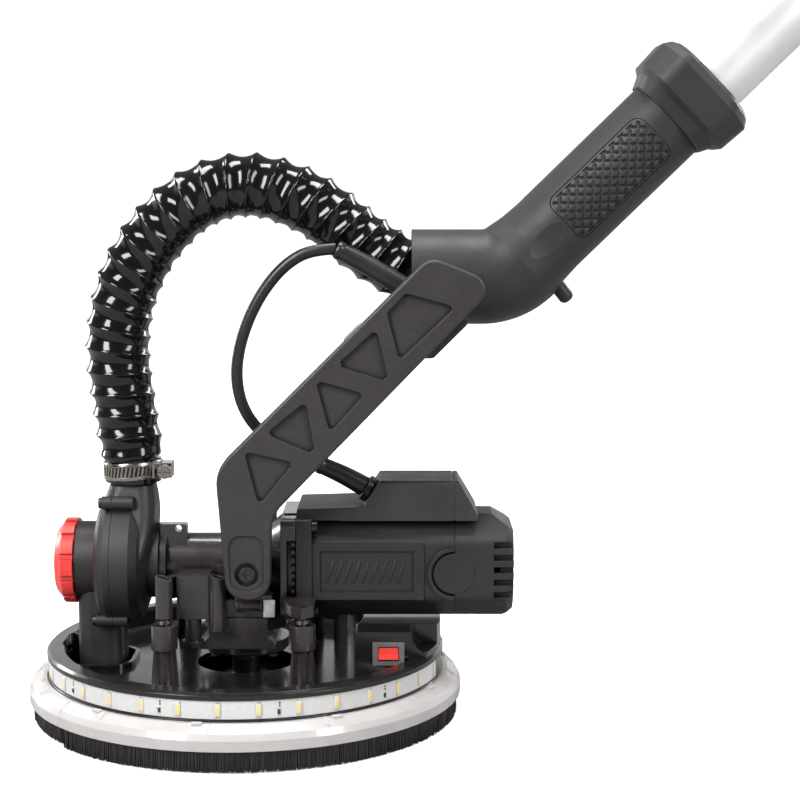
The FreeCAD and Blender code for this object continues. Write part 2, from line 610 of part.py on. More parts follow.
# ---- fork ----
ARM_OUTLINE = [(-6.5, 78.2), (-12.6, 154), (109.5, 275.6), (148, 260.2), (19.2, 127), (18.4, 78.2)]
ARM_ROUNDING = [12, 22, 12, 9, 24, 12]
FAR_ARM_OUTLINE = [(-3, 80), (-5.5, 151), (106, 262), (134, 250), (15.5, 132), (15.5, 80)]
RECESSES = [
    [(4.0, 165.2), (32.8, 158.5), (12.2, 133.1)],
    [(16.5, 175.0), (39.6, 193.8), (45.0, 162.9)],
    [(44.8, 205.9), (73.4, 197.8), (53.0, 175.1)],
    [(56.8, 214.1), (79.8, 235.1), (86.8, 204.5)],
    [(96.0, 255.0), (124.8, 247.2), (92.4, 216.2), (85.4, 243.6)],
]
RECESS_DEPTH = 3.0
BRIDGE_BOLTS = [(72, 224), (104, 224)]


def fork_arm_near():
    outer_y = -ARM_INNER_Y - NEAR_ARM_THICKNESS
    arm = slab(ARM_OUTLINE, ARM_ROUNDING, at_y(outer_y), V(0, NEAR_ARM_THICKNESS, 0))
    rim = [edge for edge in arm.Edges
           if abs(edge.BoundBox.YMin - outer_y) < 0.01 and edge.BoundBox.YLength < 0.01]
    arm = arm.makeFillet(1.6, rim)
    pockets = [slab(points, 2.6, at_y(outer_y - 1), V(0, RECESS_DEPTH + 1, 0)) for points in RECESSES]
    foot = [(-4.6, 84), (-5.6, 116), (15, 116), (15, 84)]
    pockets.append(slab(foot, [7, 7, 7, 7], at_y(outer_y - 1), V(0, 2.0, 0)))
    pockets.append(rod(7, V(PIVOT_X, outer_y - 1, PIVOT_Z), V(PIVOT_X, outer_y + 5, PIVOT_Z)))
    pockets.append(rod(4.02, V(PIVOT_X, outer_y - 1, PIVOT_Z), V(PIVOT_X, -ARM_INNER_Y + 1, PIVOT_Z)))
    pockets += [rod(3, V(x, -ARM_INNER_Y - 7, z), V(x, -ARM_INNER_Y + 1, z)) for x, z in BRIDGE_BOLTS]
    return cut(arm, *pockets)


def fork_arm_far():
    arm = slab(FAR_ARM_OUTLINE, [9, 20, 10, 8, 24, 9], at_y(ARM_INNER_Y), V(0, FAR_ARM_THICKNESS, 0))
    rim = [edge for edge in arm.Edges if edge.BoundBox.YMin > ARM_INNER_Y + FAR_ARM_THICKNESS - 0.01]
    arm = arm.makeFillet(1.6, rim)
    holes = [rod(4.02, V(PIVOT_X, 40, PIVOT_Z), V(PIVOT_X, 60, PIVOT_Z))]
    holes += [rod(3.02, V(x, 40, z), V(x, 60, z)) for x, z in BRIDGE_BOLTS]
    return cut(arm, *holes)


def fork_bridge():
    """Saddle between the arms that carries the elbow."""
    outline = [(54, 217), (112, 217), (132, 237), (128, 247), (102, 247), (84, 231), (68, 231)]
    body = slab(outline, 3, at_y(-ARM_INNER_Y), V(0, 2 * ARM_INNER_Y, 0))
    seats = [rod(ELBOW_RADIUS + 0.02, V(90, 0, ELBOW_BEND.z), V(140, 0, ELBOW_BEND.z))]
    seats += [rod(3.02, V(x, -50, z), V(x, 50, z)) for x, z in BRIDGE_BOLTS]
    seats += [rod(9, LEAD_INLET[0], LEAD_INLET[1] + X), rod(HOSE_RADIUS + 1.5, V(82, 0, 275), V(101, 0, 266))]
    return cut(body, *seats)


def fork_bolts():
    near_seat, far_seat = -ARM_INNER_Y - NEAR_ARM_THICKNESS + 5, ARM_INNER_Y + FAR_ARM_THICKNESS
    bolts = [screw(4.4, 2.6, 4, abs(near_seat) - 30, V(PIVOT_X, near_seat, PIVOT_Z), V(0, -1, 0)),
             screw(6.2, 3.2, 4, far_seat - 30, V(PIVOT_X, far_seat, PIVOT_Z), Y)]
    bolts += [screw(5, 3, 3, far_seat + ARM_INNER_Y + 6, V(x, far_seat, z), Y) for x, z in BRIDGE_BOLTS]
    return bolts


# ---- elbow grip ----
def elbow_solid(shrink, left):
    """The elbow: a level cylinder, a bend and a tapering grip, all about one bent axis."""
    radius = ELBOW_RADIUS - shrink
    reach = BEND_RADIUS * tan(radians(POLE_ANGLE / 2))
    bend_start, centre = ELBOW_BEND - X * reach, ELBOW_BEND - X * reach + Z * BEND_RADIUS
    level = rod(radius, V(left, 0, ELBOW_BEND.z), bend_start)
    section = Part.Face(Part.Wire(Part.makeCircle(radius, bend_start, X)))
    bend = section.revolve(centre, V(0, -1, 0), POLE_ANGLE)
    grip = turned([(reach, 0), (reach, radius), (reach + 10, 26.2 - shrink), (reach + 22, 25.4 - shrink),
                   (COLLAR[0], GRIP_RADIUS + 0.4 - shrink), (COLLAR[0], 0)])
    return fuse(level, bend, on_pole(grip))


def elbow():
    body = elbow_solid(0, ELBOW_LEFT)
    reach = BEND_RADIUS * tan(radians(POLE_ANGLE / 2))
    bend_cavity = elbow_solid(WALL, ELBOW_LEFT - 1)
    room = on_pole(turned([(reach + 5, 0), (reach + 5, 21), (98, 21), (98, TUBE_RADIUS + 0.02),
                           (140, TUBE_RADIUS + 0.02), (140, 0)]))
    below = on_pole(turned([(95, 0), (95, 40), (150, 40), (150, 0)]))
    inlet = rod(8.6, *LEAD_INLET)
    peg = turned([(0, 0), (0, 4.5), (17.2, 4.5), (18.9, 3.6), (19.8, 2), (19.8, 0)], V(181, 0, 263),
                 V(9.5, 0, -12).normalize())
    cavity = fuse(bend_cavity.cut(below), room)
    inlays = [on_pole(inlay_block(side, 1.1)) for side in (-1, 1)]
    scoops = both_sides(Part.makeSphere(SCOOP_RADIUS, V(182, -26 + SCOOP_DEPTH - SCOOP_RADIUS, 284)))
    return cut(fuse(body, inlet, peg), cavity, *inlays, *scoops, *shell_screws())


def inlay_block(side, depth):
    """Rounded rectangle on the side of the grip, cut to the grip's curve."""
    outline = [(-15.6, 46.5), (15.6, 46.5), (15.6, 119.5), (-15.6, 119.5)]
    plate = slab(outline, 6, at_y(0), V(0, 32 * side, 0))
    skin = turned([(40, GRIP_RADIUS + 0.4 - depth), (40, 40), (130, 40), (130, GRIP_RADIUS + 0.4 - depth)])
    return plate.common(skin)


def grip_inlays():
    skin = turned([(40, 0), (40, GRIP_RADIUS + 0.7), (130, GRIP_RADIUS + 0.7), (130, 0)])
    return [on_pole(inlay_block(side, 1.05).common(skin)) for side in (-1, 1)]


def half(shape, side):
    """One half of a shell that is split along the tool's middle plane."""
    keep = (-80, -0.05) if side == "near" else (0.05, 80)
    return shape.common(block((-150, 1000), keep, (-10, 1000)))


def shell_screws():
    """Screws on the far side of the grip, above and below its inlay."""
    out = GRIP_RADIUS + 0.1
    return [on_pole(screw(2.6, 1.2, 1.4, 2, V(0.78 * out * side, 0.62 * out, s), V(0.78 * side, 0.62, 0)))
            for side in (-1, 1) for s in (60, 92)]


# ---- pole, locks and rear handle; each is made upright and then laid on the pole ----
def pole_collar():
    """Twist collar that grips the inner tube, square with broad cut corners."""
    start, end = COLLAR[0] + GAP, COLLAR[1]
    levels = [(start, 26.2), (start + 7, 29.5), (start + 10, 33.3), (end - 7, 34.3), (end - 2.5, 31.5),
              (end, 28)]
    bore = rod(TUBE_RADIUS + RUNNING, V(0, 0, start - 1), V(0, 0, end + 1))
    return on_pole(cornered(levels, 0.6, 13).cut(bore))


def cornered(levels, flat, rounding):
    """A lofted form, square with cut corners. Each level is (height, half width); flat is a side's share."""
    stages = []
    for pair in zip(levels, levels[1:]):
        wires = []
        for z, half in pair:
            side = half * flat
            corners = [(half, -side), (half, side), (side, half), (-side, half), (-half, side), (-half, -side),
                       (-side, -half), (side, -half)]
            wires.append(rounded_wire(corners, rounding, at_z(z)))
        stages.append(Part.makeLoft(wires, True, True))
    return fuse(*stages)


def pole_tube(radius, bore, span):
    return on_pole(pipe(radius, bore, V(0, 0, span[0]), V(0, 0, span[1])))


def length_lock():
    """Twist nut over the end of the outer tube."""
    start, end = LOCK
    body = cornered([(start, 27.5), (start + 4, 30), (end - 4, 30), (end, 28)], 0.5, 4)
    tube_end = OUTER_TUBE[0] - 0.4
    bore = turned([(start - 1, 0), (start - 1, 23.2), (tube_end, 23.2), (tube_end, 25.05), (end + 1, 25.05),
                   (end + 1, 0)])
    return on_pole(body.cut(bore))


def rear_solid(shrink):
    return turned([(REAR[0], 0), (REAR[0], 28 - shrink), (618, 31 - shrink), (668, 33 - shrink),
                   (692, 28.5 - shrink), (790, 27 - shrink), (838, 30 - shrink), (REAR[1], 28 - shrink),
                   (REAR[1], 0)])


TRIGGER_SPAN = (704.0, 746.0)
PORT_X, GLAND_X = -9.5, 20.5          # dust port above, cord gland below, in the handle's end
DIAL_CENTRE = V(-28, 0, 672)


def rear_handle():
    room = turned([(655, 0), (655, 23), (840, 23), (855, 20), (855, 0)])
    socket = rod(25.02, V(0, 0, 590), V(0, 0, 656))
    trigger_slot = block((10, 40), (-6.3, 6.3), TRIGGER_SPAN)
    dial_slot = block((-45, -15), (-4.3, 4.3), (DIAL_CENTRE.z - 9.5, DIAL_CENTRE.z + 9.5))
    end_holes = [rod(radius, V(x, 0, 850), V(x, 0, 870)) for x, radius in ((PORT_X, 14.5), (GLAND_X, 5))]
    axle = rod(1.5 + RUNNING, DIAL_CENTRE - Y * 10, DIAL_CENTRE + Y * 10)
    shell = on_pole(cut(rear_solid(0), room, socket, trigger_slot, dial_slot, *end_holes, axle))
    return cut(shell, *rear_screws())


def rear_screws():
    return [on_pole(screw(2.8, 1.2, 1.5, 5, V(x, y, s), V(0.62 * x / abs(x), 0.78, 0)))
            for x, y, s in ((17.5, 22.6, 700), (-17.5, 22.6, 700), (16.6, 21.4, 780), (-16.6, 21.4, 780))]


def dust_port():
    port = turned([(862.05, 14.5), (862.05, 21), (865, 21), (866, 17.5), (896, 17.5), (896, 14.5)])
    port.translate(X * PORT_X)
    return on_pole(port)


def cord_gland():
    gland = turned([(862.05, 3.8), (862.05, 7.5), (866, 7.5), (884, 5.6), (884, 3.8)])
    gland.translate(X * GLAND_X)
    return on_pole(gland)


def trigger():
    low, high = TRIGGER_SPAN[0] + GAP, TRIGGER_SPAN[1] - GAP
    outline = [(14, low), (31.5, low), (34, (low + high) / 2 - 6), (32.5, (low + high) / 2 + 6), (34, high - 6),
               (30, high), (14, high)]
    return on_pole(slab(outline, [0, 2, 5, 8, 3, 2, 0], at_y(-6), V(0, 12, 0)))


def speed_dial():
    wheel = rod(9, DIAL_CENTRE - Y * 4, DIAL_CENTRE + Y * 4)
    rim = DIAL_CENTRE - X * 9.3
    grooves = around(rod(0.9, rim - Y * 5, rim + Y * 5), 24, Y, DIAL_CENTRE)
    pin = rod(1.5, DIAL_CENTRE - Y * 9, DIAL_CENTRE + Y * 9)
    return on_pole(fuse(cut(wheel, *grooves), pin))


def main():
    os.makedirs("parts", exist_ok=True)
    save("abrasive_disc", abrasive_disc())
    save("foam_pad", foam_pad())
    save("backing_plate", backing_plate())
    save("spindle", spindle())
    save("pad_screw", pad_screw())
    save("crown_gear", crown_gear())

    save("rotor_shaft", rotor_shaft())
    save("drive_pinion", drive_pinion())
    save("armature", armature())
    save("cooling_fan", cooling_fan())
    save("suction_impeller", suction_impeller())

    save("gear_housing", gear_housing())
    save("gear_cover", gear_cover())
    save("bearings", *bearings())
    save("housing_screws", *housing_screws(), *float_bolts())
    save("volute_outer", volute_half("outer"))
    save("volute_inner", volute_half("inner"))
    save("suction_duct", suction_duct())
    save("suction_knob", suction_knob())
    save("hose_cuff", hose_cuff())
    save("hose_clamp_band", hose_clamp_band())
    save("clamp_screw", clamp_screw())
    save("motor_shell", motor_shell())
    save("motor_end_cap", motor_end_cap())
    save("stator", stator())
    save("carbon_brushes", *carbon_brushes())
    save("lead_relief_motor", relief(MOTOR_RELIEF_ROUTE, 5.7, 8.2, "motor relief"))

    save("shroud", shroud())
    save("float_posts", *[float_post(x, y) for x, y in POSTS])
    save("switch_cover", switch_cover())
    save("rocker_frame", rocker_frame())
    save("rocker", rocker())
    save("led_strip", led_strip())
    save("clear_ring", clear_ring())
    save("edge_ring", edge_ring())
    save("brush_ring", brush(0).cut(edge_slot(0.1)))
    save("edge_brush", brush(2).common(edge_slot(-0.1)))
    save("float_springs", *float_springs())

    save("fork_arm_near", fork_arm_near())
    save("fork_arm_far", fork_arm_far())
    save("fork_bridge", fork_bridge())
    save("fork_bolts", *fork_bolts())
    save("elbow_shell_near", half(elbow(), "near"))
    save("elbow_shell_far", half(elbow(), "far"))
    save("grip_inlays", *grip_inlays())
    save("shell_screws", *shell_screws())
    save("lead_relief_elbow", relief(ELBOW_RELIEF_ROUTE[::-1], 5.5, 7.6, "elbow relief"))
    save("dust_hose", swept(HOSE_ROUTE, HOSE_RADIUS, "dust hose", HOSE_BORE))
    save("motor_lead", swept(LEAD_ROUTE, LEAD_RADIUS, "motor lead"))

    save("pole_collar", pole_collar())
    save("pole_tube_inner", pole_tube(TUBE_RADIUS, TUBE_RADIUS - 1.6, (100, 640)))
    save("pole_tube_outer", pole_tube(25.0, TUBE_RADIUS + RUNNING, OUTER_TUBE))
    save("length_lock", length_lock())
    save("rear_shell_near", half(rear_handle(), "near"))
    save("rear_shell_far", half(rear_handle(), "far"))
    save("rear_screws", *rear_screws())
    save("dust_port", dust_port())
    save("cord_gland", cord_gland())
    save("trigger", trigger())
    save("speed_dial", speed_dial())


main()
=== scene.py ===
"""Pole drywall sander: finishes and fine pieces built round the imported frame.

Metres. +Z goes up through the pad, +X runs along the motor, and the near side of the tool faces -Y.
"""

import json
import math
import random

import bmesh
import bpy
from mathutils import Matrix, Vector, noise


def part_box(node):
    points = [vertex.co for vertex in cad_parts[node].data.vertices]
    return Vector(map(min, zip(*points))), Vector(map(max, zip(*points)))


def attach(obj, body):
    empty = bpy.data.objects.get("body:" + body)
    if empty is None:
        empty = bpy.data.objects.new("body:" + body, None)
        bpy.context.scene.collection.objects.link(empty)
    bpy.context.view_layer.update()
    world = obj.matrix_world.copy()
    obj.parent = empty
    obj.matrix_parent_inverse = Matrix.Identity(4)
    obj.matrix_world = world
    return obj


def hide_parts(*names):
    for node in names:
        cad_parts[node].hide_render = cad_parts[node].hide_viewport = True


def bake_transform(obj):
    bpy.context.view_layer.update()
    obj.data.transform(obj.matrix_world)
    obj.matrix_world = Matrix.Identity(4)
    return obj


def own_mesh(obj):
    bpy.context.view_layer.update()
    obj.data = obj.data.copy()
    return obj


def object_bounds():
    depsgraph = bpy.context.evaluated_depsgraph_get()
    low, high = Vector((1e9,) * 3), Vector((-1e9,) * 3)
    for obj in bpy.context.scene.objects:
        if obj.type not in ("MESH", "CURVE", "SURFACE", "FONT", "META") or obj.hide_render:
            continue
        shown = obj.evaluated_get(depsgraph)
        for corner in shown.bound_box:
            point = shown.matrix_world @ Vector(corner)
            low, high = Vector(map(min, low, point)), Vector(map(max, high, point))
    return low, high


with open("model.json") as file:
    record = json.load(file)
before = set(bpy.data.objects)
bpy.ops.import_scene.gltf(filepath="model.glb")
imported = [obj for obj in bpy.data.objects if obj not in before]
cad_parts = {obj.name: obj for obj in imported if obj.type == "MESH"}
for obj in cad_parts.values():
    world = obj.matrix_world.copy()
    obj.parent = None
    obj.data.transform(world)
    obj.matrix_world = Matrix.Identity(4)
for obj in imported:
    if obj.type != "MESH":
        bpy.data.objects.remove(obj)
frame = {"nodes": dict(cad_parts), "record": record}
CAD_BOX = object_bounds()
MM = 0.001
Y, Z = Vector((0, 1, 0)), Vector((0, 0, 1))
random.seed(11)


# ---- camera ----
def camera():
    lens = bpy.data.cameras.new("camera")
    lens.sensor_width, lens.lens = 36, 80.1
    lens.clip_start, lens.clip_end = 0.01, 60
    viewer = bpy.data.objects.new("camera", lens)
    viewer.location = (0.093, -1.056, 0.313)
    viewer.rotation_euler = (math.radians(83.25), 0, 0)
    bpy.context.scene.collection.objects.link(viewer)
    bpy.context.scene.camera = viewer


camera()


# ---- mesh helpers ----
def piece(name, vertices, faces, body=None, crease=40):
    """A mesh object; edges sharper than crease degrees stay sharp."""
    mesh = bpy.data.meshes.new(name)
    mesh.from_pydata([tuple(v) for v in vertices], [], faces)
    return finished(name, mesh, body, crease)


def finished(name, mesh, body, crease=40):
    mesh.polygons.foreach_set("use_smooth", [True] * len(mesh.polygons))
    mesh.set_sharp_from_angle(angle=math.radians(crease))
    mesh.update()
    made = bpy.data.objects.new(name, mesh)
    bpy.context.scene.collection.objects.link(made)
    if body:
        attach(made, body)
    return made


def from_bmesh(name, bm, body, crease=40):
    bmesh.ops.recalc_face_normals(bm, faces=bm.faces)
    mesh = bpy.data.meshes.new(name)
    bm.to_mesh(mesh)
    bm.free()
    return finished(name, mesh, body, crease)


def add_block(bm, size, place, bevel=0.0):
    """A bevelled block, set by a 4x4 matrix."""
    made = bmesh.ops.create_cube(bm, size=1.0)["verts"]
    bmesh.ops.scale(bm, vec=size, verts=made)
    if bevel:
        edges = list({edge for vertex in made for edge in vertex.link_edges})
        made = [v for v in bmesh.ops.bevel(bm, geom=edges, offset=bevel, segments=2, affect="EDGES",
                                           profile=0.5)["verts"]]
    bmesh.ops.transform(bm, matrix=place, verts=made)
    return made


def add_turned(bm, profile, place, sides=24):
    """A closed turned form from (height, radius) points, about the matrix's Z."""
    rings = []
    for height, radius in profile:
        if radius == 0:
            rings.append([bm.verts.new(place @ Vector((0, 0, height)))])
            continue
        turn = [2 * math.pi * k / sides for k in range(sides)]
        rings.append([bm.verts.new(place @ Vector((radius * math.cos(a), radius * math.sin(a), height)))
                      for a in turn])
    for low, high in zip(rings, rings[1:]):
        for k in range(sides):
            n = (k + 1) % sides
            if len(low) == 1:
                bm.faces.new((low[0], high[n], high[k]))
            elif len(high) == 1:
                bm.faces.new((low[k], low[n], high[0]))
            else:
                bm.faces.new((low[k], low[n], high[n], high[k]))


def on_circle(azimuth, radius, height):
    """A place round the pad: X along the circle, Y up, Z outward. azimuth is in degrees from +X."""
    a = math.radians(azimuth)
    out, along = Vector((math.cos(a), math.sin(a), 0)), Vector((-math.sin(a), math.cos(a), 0))
    turn = Matrix((along, Z, out)).transposed().to_4x4()
    return Matrix.Translation(out * radius + Z * height) @ turn


def tube(points, radius_at, sides, centre_line=None):
    """A closed tube round points. radius_at(distance, angle, index) gives its radius."""
    vertices, faces, distance = [], [], 0.0
    for index, point in enumerate(points):
        before, after = points[max(index - 1, 0)], points[min(index + 1, len(points) - 1)]
        along = (after - before).normalized()
        across = Y if centre_line is None else (point - centre_line(point)).normalized()
        side = (across - along * across.dot(along)).normalized()
        up = along.cross(side)
        if index:
            distance += (point - points[index - 1]).length
        for k in range(sides):
            angle = 2 * math.pi * k / sides
            out = side * math.cos(angle) + up * math.sin(angle)
            vertices.append(point + out * radius_at(distance, angle, index))
    for index in range(len(points) - 1):
        for k in range(sides):
            n = (k + 1) % sides
            low, high = index * sides, (index + 1) * sides
            faces.append((low + k, low + n, high + n, high + k))
    last = (len(points) - 1) * sides
    faces.append(tuple(range(sides - 1, -1, -1)))
    faces.append(tuple(range(last, last + sides)))
    return vertices, faces


def centreline(route, steps):
    """The points along a smooth NURBS line through a route's control points."""
    curve = bpy.data.curves.new("route", "CURVE")
    curve.dimensions = "3D"
    curve.resolution_u = steps
    spline = curve.splines.new("NURBS")
    spline.points.add(len(route) - 1)
    for control, place in zip(spline.points, route):
        control.co = (*place, 1.0)
    spline.order_u = 3
    spline.use_endpoint_u = True
    holder = bpy.data.objects.new("route", curve)
    line = bpy.data.meshes.new_from_object(holder)
    points = [vertex.co.copy() for vertex in line.vertices]
    bpy.data.objects.remove(holder)
    bpy.data.meshes.remove(line)
    return points


def length_of(points):
    return sum((b - a).length for a, b in zip(points, points[1:]))


# ---- finishes ----
class Graph:
    """A short way to write a material's nodes."""

    def __init__(self, name):
        self.made = bpy.data.materials.new(name)
        self.made.use_nodes = True
        self.nodes, self.links = self.made.node_tree.nodes, self.made.node_tree.links
        self.shader = self.nodes["Principled BSDF"]
        self.place = self.add("ShaderNodeTexCoord").outputs["Object"]

    def add(self, kind, **settings):
        node = self.nodes.new(kind)
        for key, value in settings.items():
            setattr(node, key, value)
        return node

    def join(self, source, target):
        self.links.new(source, target)

    def noise(self, scale, detail=3.0, rough=0.55, stretch=None):
        node = self.add("ShaderNodeTexNoise")
        node.inputs["Scale"].default_value = scale
        node.inputs["Detail"].default_value = detail
        node.inputs["Roughness"].default_value = rough
        place = self.place
        if stretch:
            mapping = self.add("ShaderNodeMapping")
            mapping.inputs["Scale"].default_value = stretch
            self.join(self.place, mapping.inputs["Vector"])
            place = mapping.outputs["Vector"]
        self.join(place, node.inputs["Vector"])
        return node.outputs["Fac"]

    def between(self, value, low, high, start=0.3, end=0.7):
        node = self.add("ShaderNodeMapRange")
        node.inputs["From Min"].default_value = start
        node.inputs["From Max"].default_value = end
        node.inputs["To Min"].default_value = low
        node.inputs["To Max"].default_value = high
        self.join(value, node.inputs["Value"])
        return node.outputs["Result"]

    def mix(self, share, first, second):
        node = self.add("ShaderNodeMix", data_type="RGBA")
        self.join(share, node.inputs["Factor"])
        for value, socket in ((first, node.inputs["A"]), (second, node.inputs["B"])):
            if isinstance(value, bpy.types.NodeSocket):
                self.join(value, socket)
            else:
                socket.default_value = (*value, 1)
        return node.outputs["Result"]

    def rounded(self, radius):
        node = self.add("ShaderNodeBevel", samples=4)
        node.inputs["Radius"].default_value = radius
        return node.outputs["Normal"]

    def edges(self, rounded):
        """1 at sharp edges and 0 on flat faces."""
        geometry = self.add("ShaderNodeNewGeometry")
        dot = self.add("ShaderNodeVectorMath", operation="DOT_PRODUCT")
        self.join(rounded, dot.inputs[0])
        self.join(geometry.outputs["Normal"], dot.inputs[1])
        return self.between(dot.outputs["Value"], 1.0, 0.0, 0.86, 0.995)

    def painted_crevice_shade(self, reach):
        """Painted shade mask: 0 deep in corners and 1 on open faces."""
        node = self.add("ShaderNodeAmbientOcclusion", samples=6, only_local=True)
        node.inputs["Distance"].default_value = reach
        return self.between(node.outputs["AO"], 0.0, 1.0, 0.5, 0.93)

    def bump(self, height, strength, distance, normal=None):
        node = self.add("ShaderNodeBump")
        node.inputs["Strength"].default_value = strength
        node.inputs["Distance"].default_value = distance
        self.join(height, node.inputs["Height"])
        if normal is not None:
            self.join(normal, node.inputs["Normal"])
        return node.outputs["Normal"]

    def set(self, **values):
        for key, value in values.items():
            socket = self.shader.inputs[key.replace("_", " ")]
            if isinstance(value, bpy.types.NodeSocket):
                self.join(value, socket)
            elif isinstance(value, tuple) and len(value) == 3:
                socket.default_value = (*value, 1) if socket.type == "RGBA" else value
            else:
                socket.default_value = value
        return self.made


def shade(colour, factor):
    return tuple(min(1, c * factor) for c in colour)


def moulded(name, dark, light, rough, grain=(1800, 0.35), rub=1.6, edge=0.5 * MM, rough_spread=0.06,
            blotch=26, **extra):
    """Plastic, paint or rubber: mottled tone, fine grain, softened edges that are rubbed paler, and painted
    shade in corners and recesses.
    """
    g = Graph(name)
    grain_scale, grain_depth = grain
    tone = g.mix(g.between(g.noise(blotch, 5), 0, 1), dark, light)
    speckle = g.between(g.noise(grain_scale * 0.5, 2), 0, 1, 0.35, 0.65)
    fine = g.mix(speckle, shade(dark, 0.9), shade(light, 1.12))
    tone_node = g.add("ShaderNodeMix", data_type="RGBA")
    tone_node.inputs["Factor"].default_value = 0.35
    g.join(tone, tone_node.inputs["A"])
    g.join(fine, tone_node.inputs["B"])
    rounded = g.rounded(edge)
    worn = g.edges(rounded)
    patchy = g.add("ShaderNodeMath", operation="MULTIPLY")
    g.join(worn, patchy.inputs[0])
    g.join(g.between(g.noise(160, 4), 0.15, 0.9), patchy.inputs[1])
    colour = g.mix(patchy.outputs["Value"], tone_node.outputs["Result"], shade(light, rub))
    # painted shade: the colour darkens toward near black in corners and recesses
    colour = g.mix(g.painted_crevice_shade(3.0 * MM), shade(dark, 0.16), colour)
    roughness = g.between(g.noise(55, 4), rough - rough_spread, rough + rough_spread)
    bumps = g.bump(g.noise(grain_scale, 3, 0.6), grain_depth, 0.06 * MM, rounded)
    waves = g.bump(g.noise(90, 2), 0.06, 0.6 * MM, bumps)
    return g.set(Base_Color=colour, Roughness=roughness, Normal=waves, **extra)


def metal(name, dark, light, rough, stretch=(1, 1, 1), edge=0.25 * MM, scratch=0.25, scale=420,
          bare=1.0):
    """Bare metal with drawn or turned lines, cloudy roughness and bright edges."""
    g = Graph(name)
    lines = g.noise(scale, 4, 0.65, stretch)
    tone = g.mix(g.between(lines, 0, 1, 0.35, 0.65), dark, light)
    rounded = g.rounded(edge)
    colour = g.mix(g.edges(rounded), tone, shade(light, 1.2))
    rough_lines = g.between(lines, rough - 0.05, rough + 0.07)
    clouds = g.add("ShaderNodeMath", operation="ADD")
    g.join(rough_lines, clouds.inputs[0])
    g.join(g.between(g.noise(35, 4), -0.05, 0.06), clouds.inputs[1])
    normal = g.bump(lines, scratch, 0.03 * MM, rounded)
    return g.set(Base_Color=colour, Metallic=bare, Roughness=clouds.outputs["Value"], Normal=normal)


def clear_plastic(name, thick, thin, clarity):
    """Moulded polycarbonate: hazy, slightly warm, with flow lines."""
    g = Graph(name)
    haze = g.noise(38, 5, 0.6)
    colour = g.mix(g.between(haze, 0, 1), thick, thin)
    rounded = g.rounded(0.5 * MM)
    normal = g.bump(g.noise(260, 3, 0.5, (1, 1, 0.25)), 0.16, 0.25 * MM, rounded)
    return g.set(Base_Color=colour, Roughness=g.between(haze, 0.08, 0.22), Normal=normal,
                 Transmission_Weight=clarity, IOR=1.49)


def foam():
    g = Graph("foam")
    cells = g.add("ShaderNodeTexVoronoi")
    cells.inputs["Scale"].default_value = 1400
    g.join(g.place, cells.inputs["Vector"])
    wall = cells.outputs["Distance"]
    colour = g.mix(g.between(wall, 0, 1, 0.1, 0.6), (0.05, 0.05, 0.052), (0.012, 0.012, 0.013))
    normal = g.bump(wall, 0.9, 0.4 * MM)
    return g.set(Base_Color=colour, Roughness=g.between(g.noise(80), 0.85, 0.97), Normal=normal)


def abrasive():
    """Aluminium oxide grit on paper, a little clogged with plaster dust."""
    g = Graph("abrasive_grit")
    grit = g.noise(2600, 4, 0.75)
    grains = g.mix(g.between(grit, 0, 1, 0.4, 0.62), (0.20, 0.11, 0.05), (0.56, 0.40, 0.24))
    dusty = g.mix(g.between(g.noise(45, 6, 0.65), 0, 0.4, 0.5, 0.72), grains, (0.62, 0.57, 0.5))
    return g.set(Base_Color=dusty, Roughness=g.between(grit, 0.75, 0.95), Normal=g.bump(grit, 0.9, 0.25 * MM))


def bristle():
    g = Graph("nylon_bristle")
    strand = g.noise(900, 3, 0.7, (1, 1, 0.06))
    colour = g.mix(g.between(strand, 0, 1), (0.007, 0.006, 0.006), (0.034, 0.029, 0.028))
    return g.set(Base_Color=colour, Roughness=g.between(strand, 0.38, 0.62),
                 Normal=g.bump(strand, 0.4, 0.1 * MM))


def windings():
    g = Graph("copper_windings")
    wire = g.noise(700, 2, 0.5, (0.1, 1, 1))
    colour = g.mix(g.between(wire, 0, 1), (0.30, 0.11, 0.05), (0.66, 0.32, 0.16))
    return g.set(Base_Color=colour, Metallic=0.85, Roughness=g.between(wire, 0.28, 0.5),
                 Normal=g.bump(wire, 0.8, 0.2 * MM))


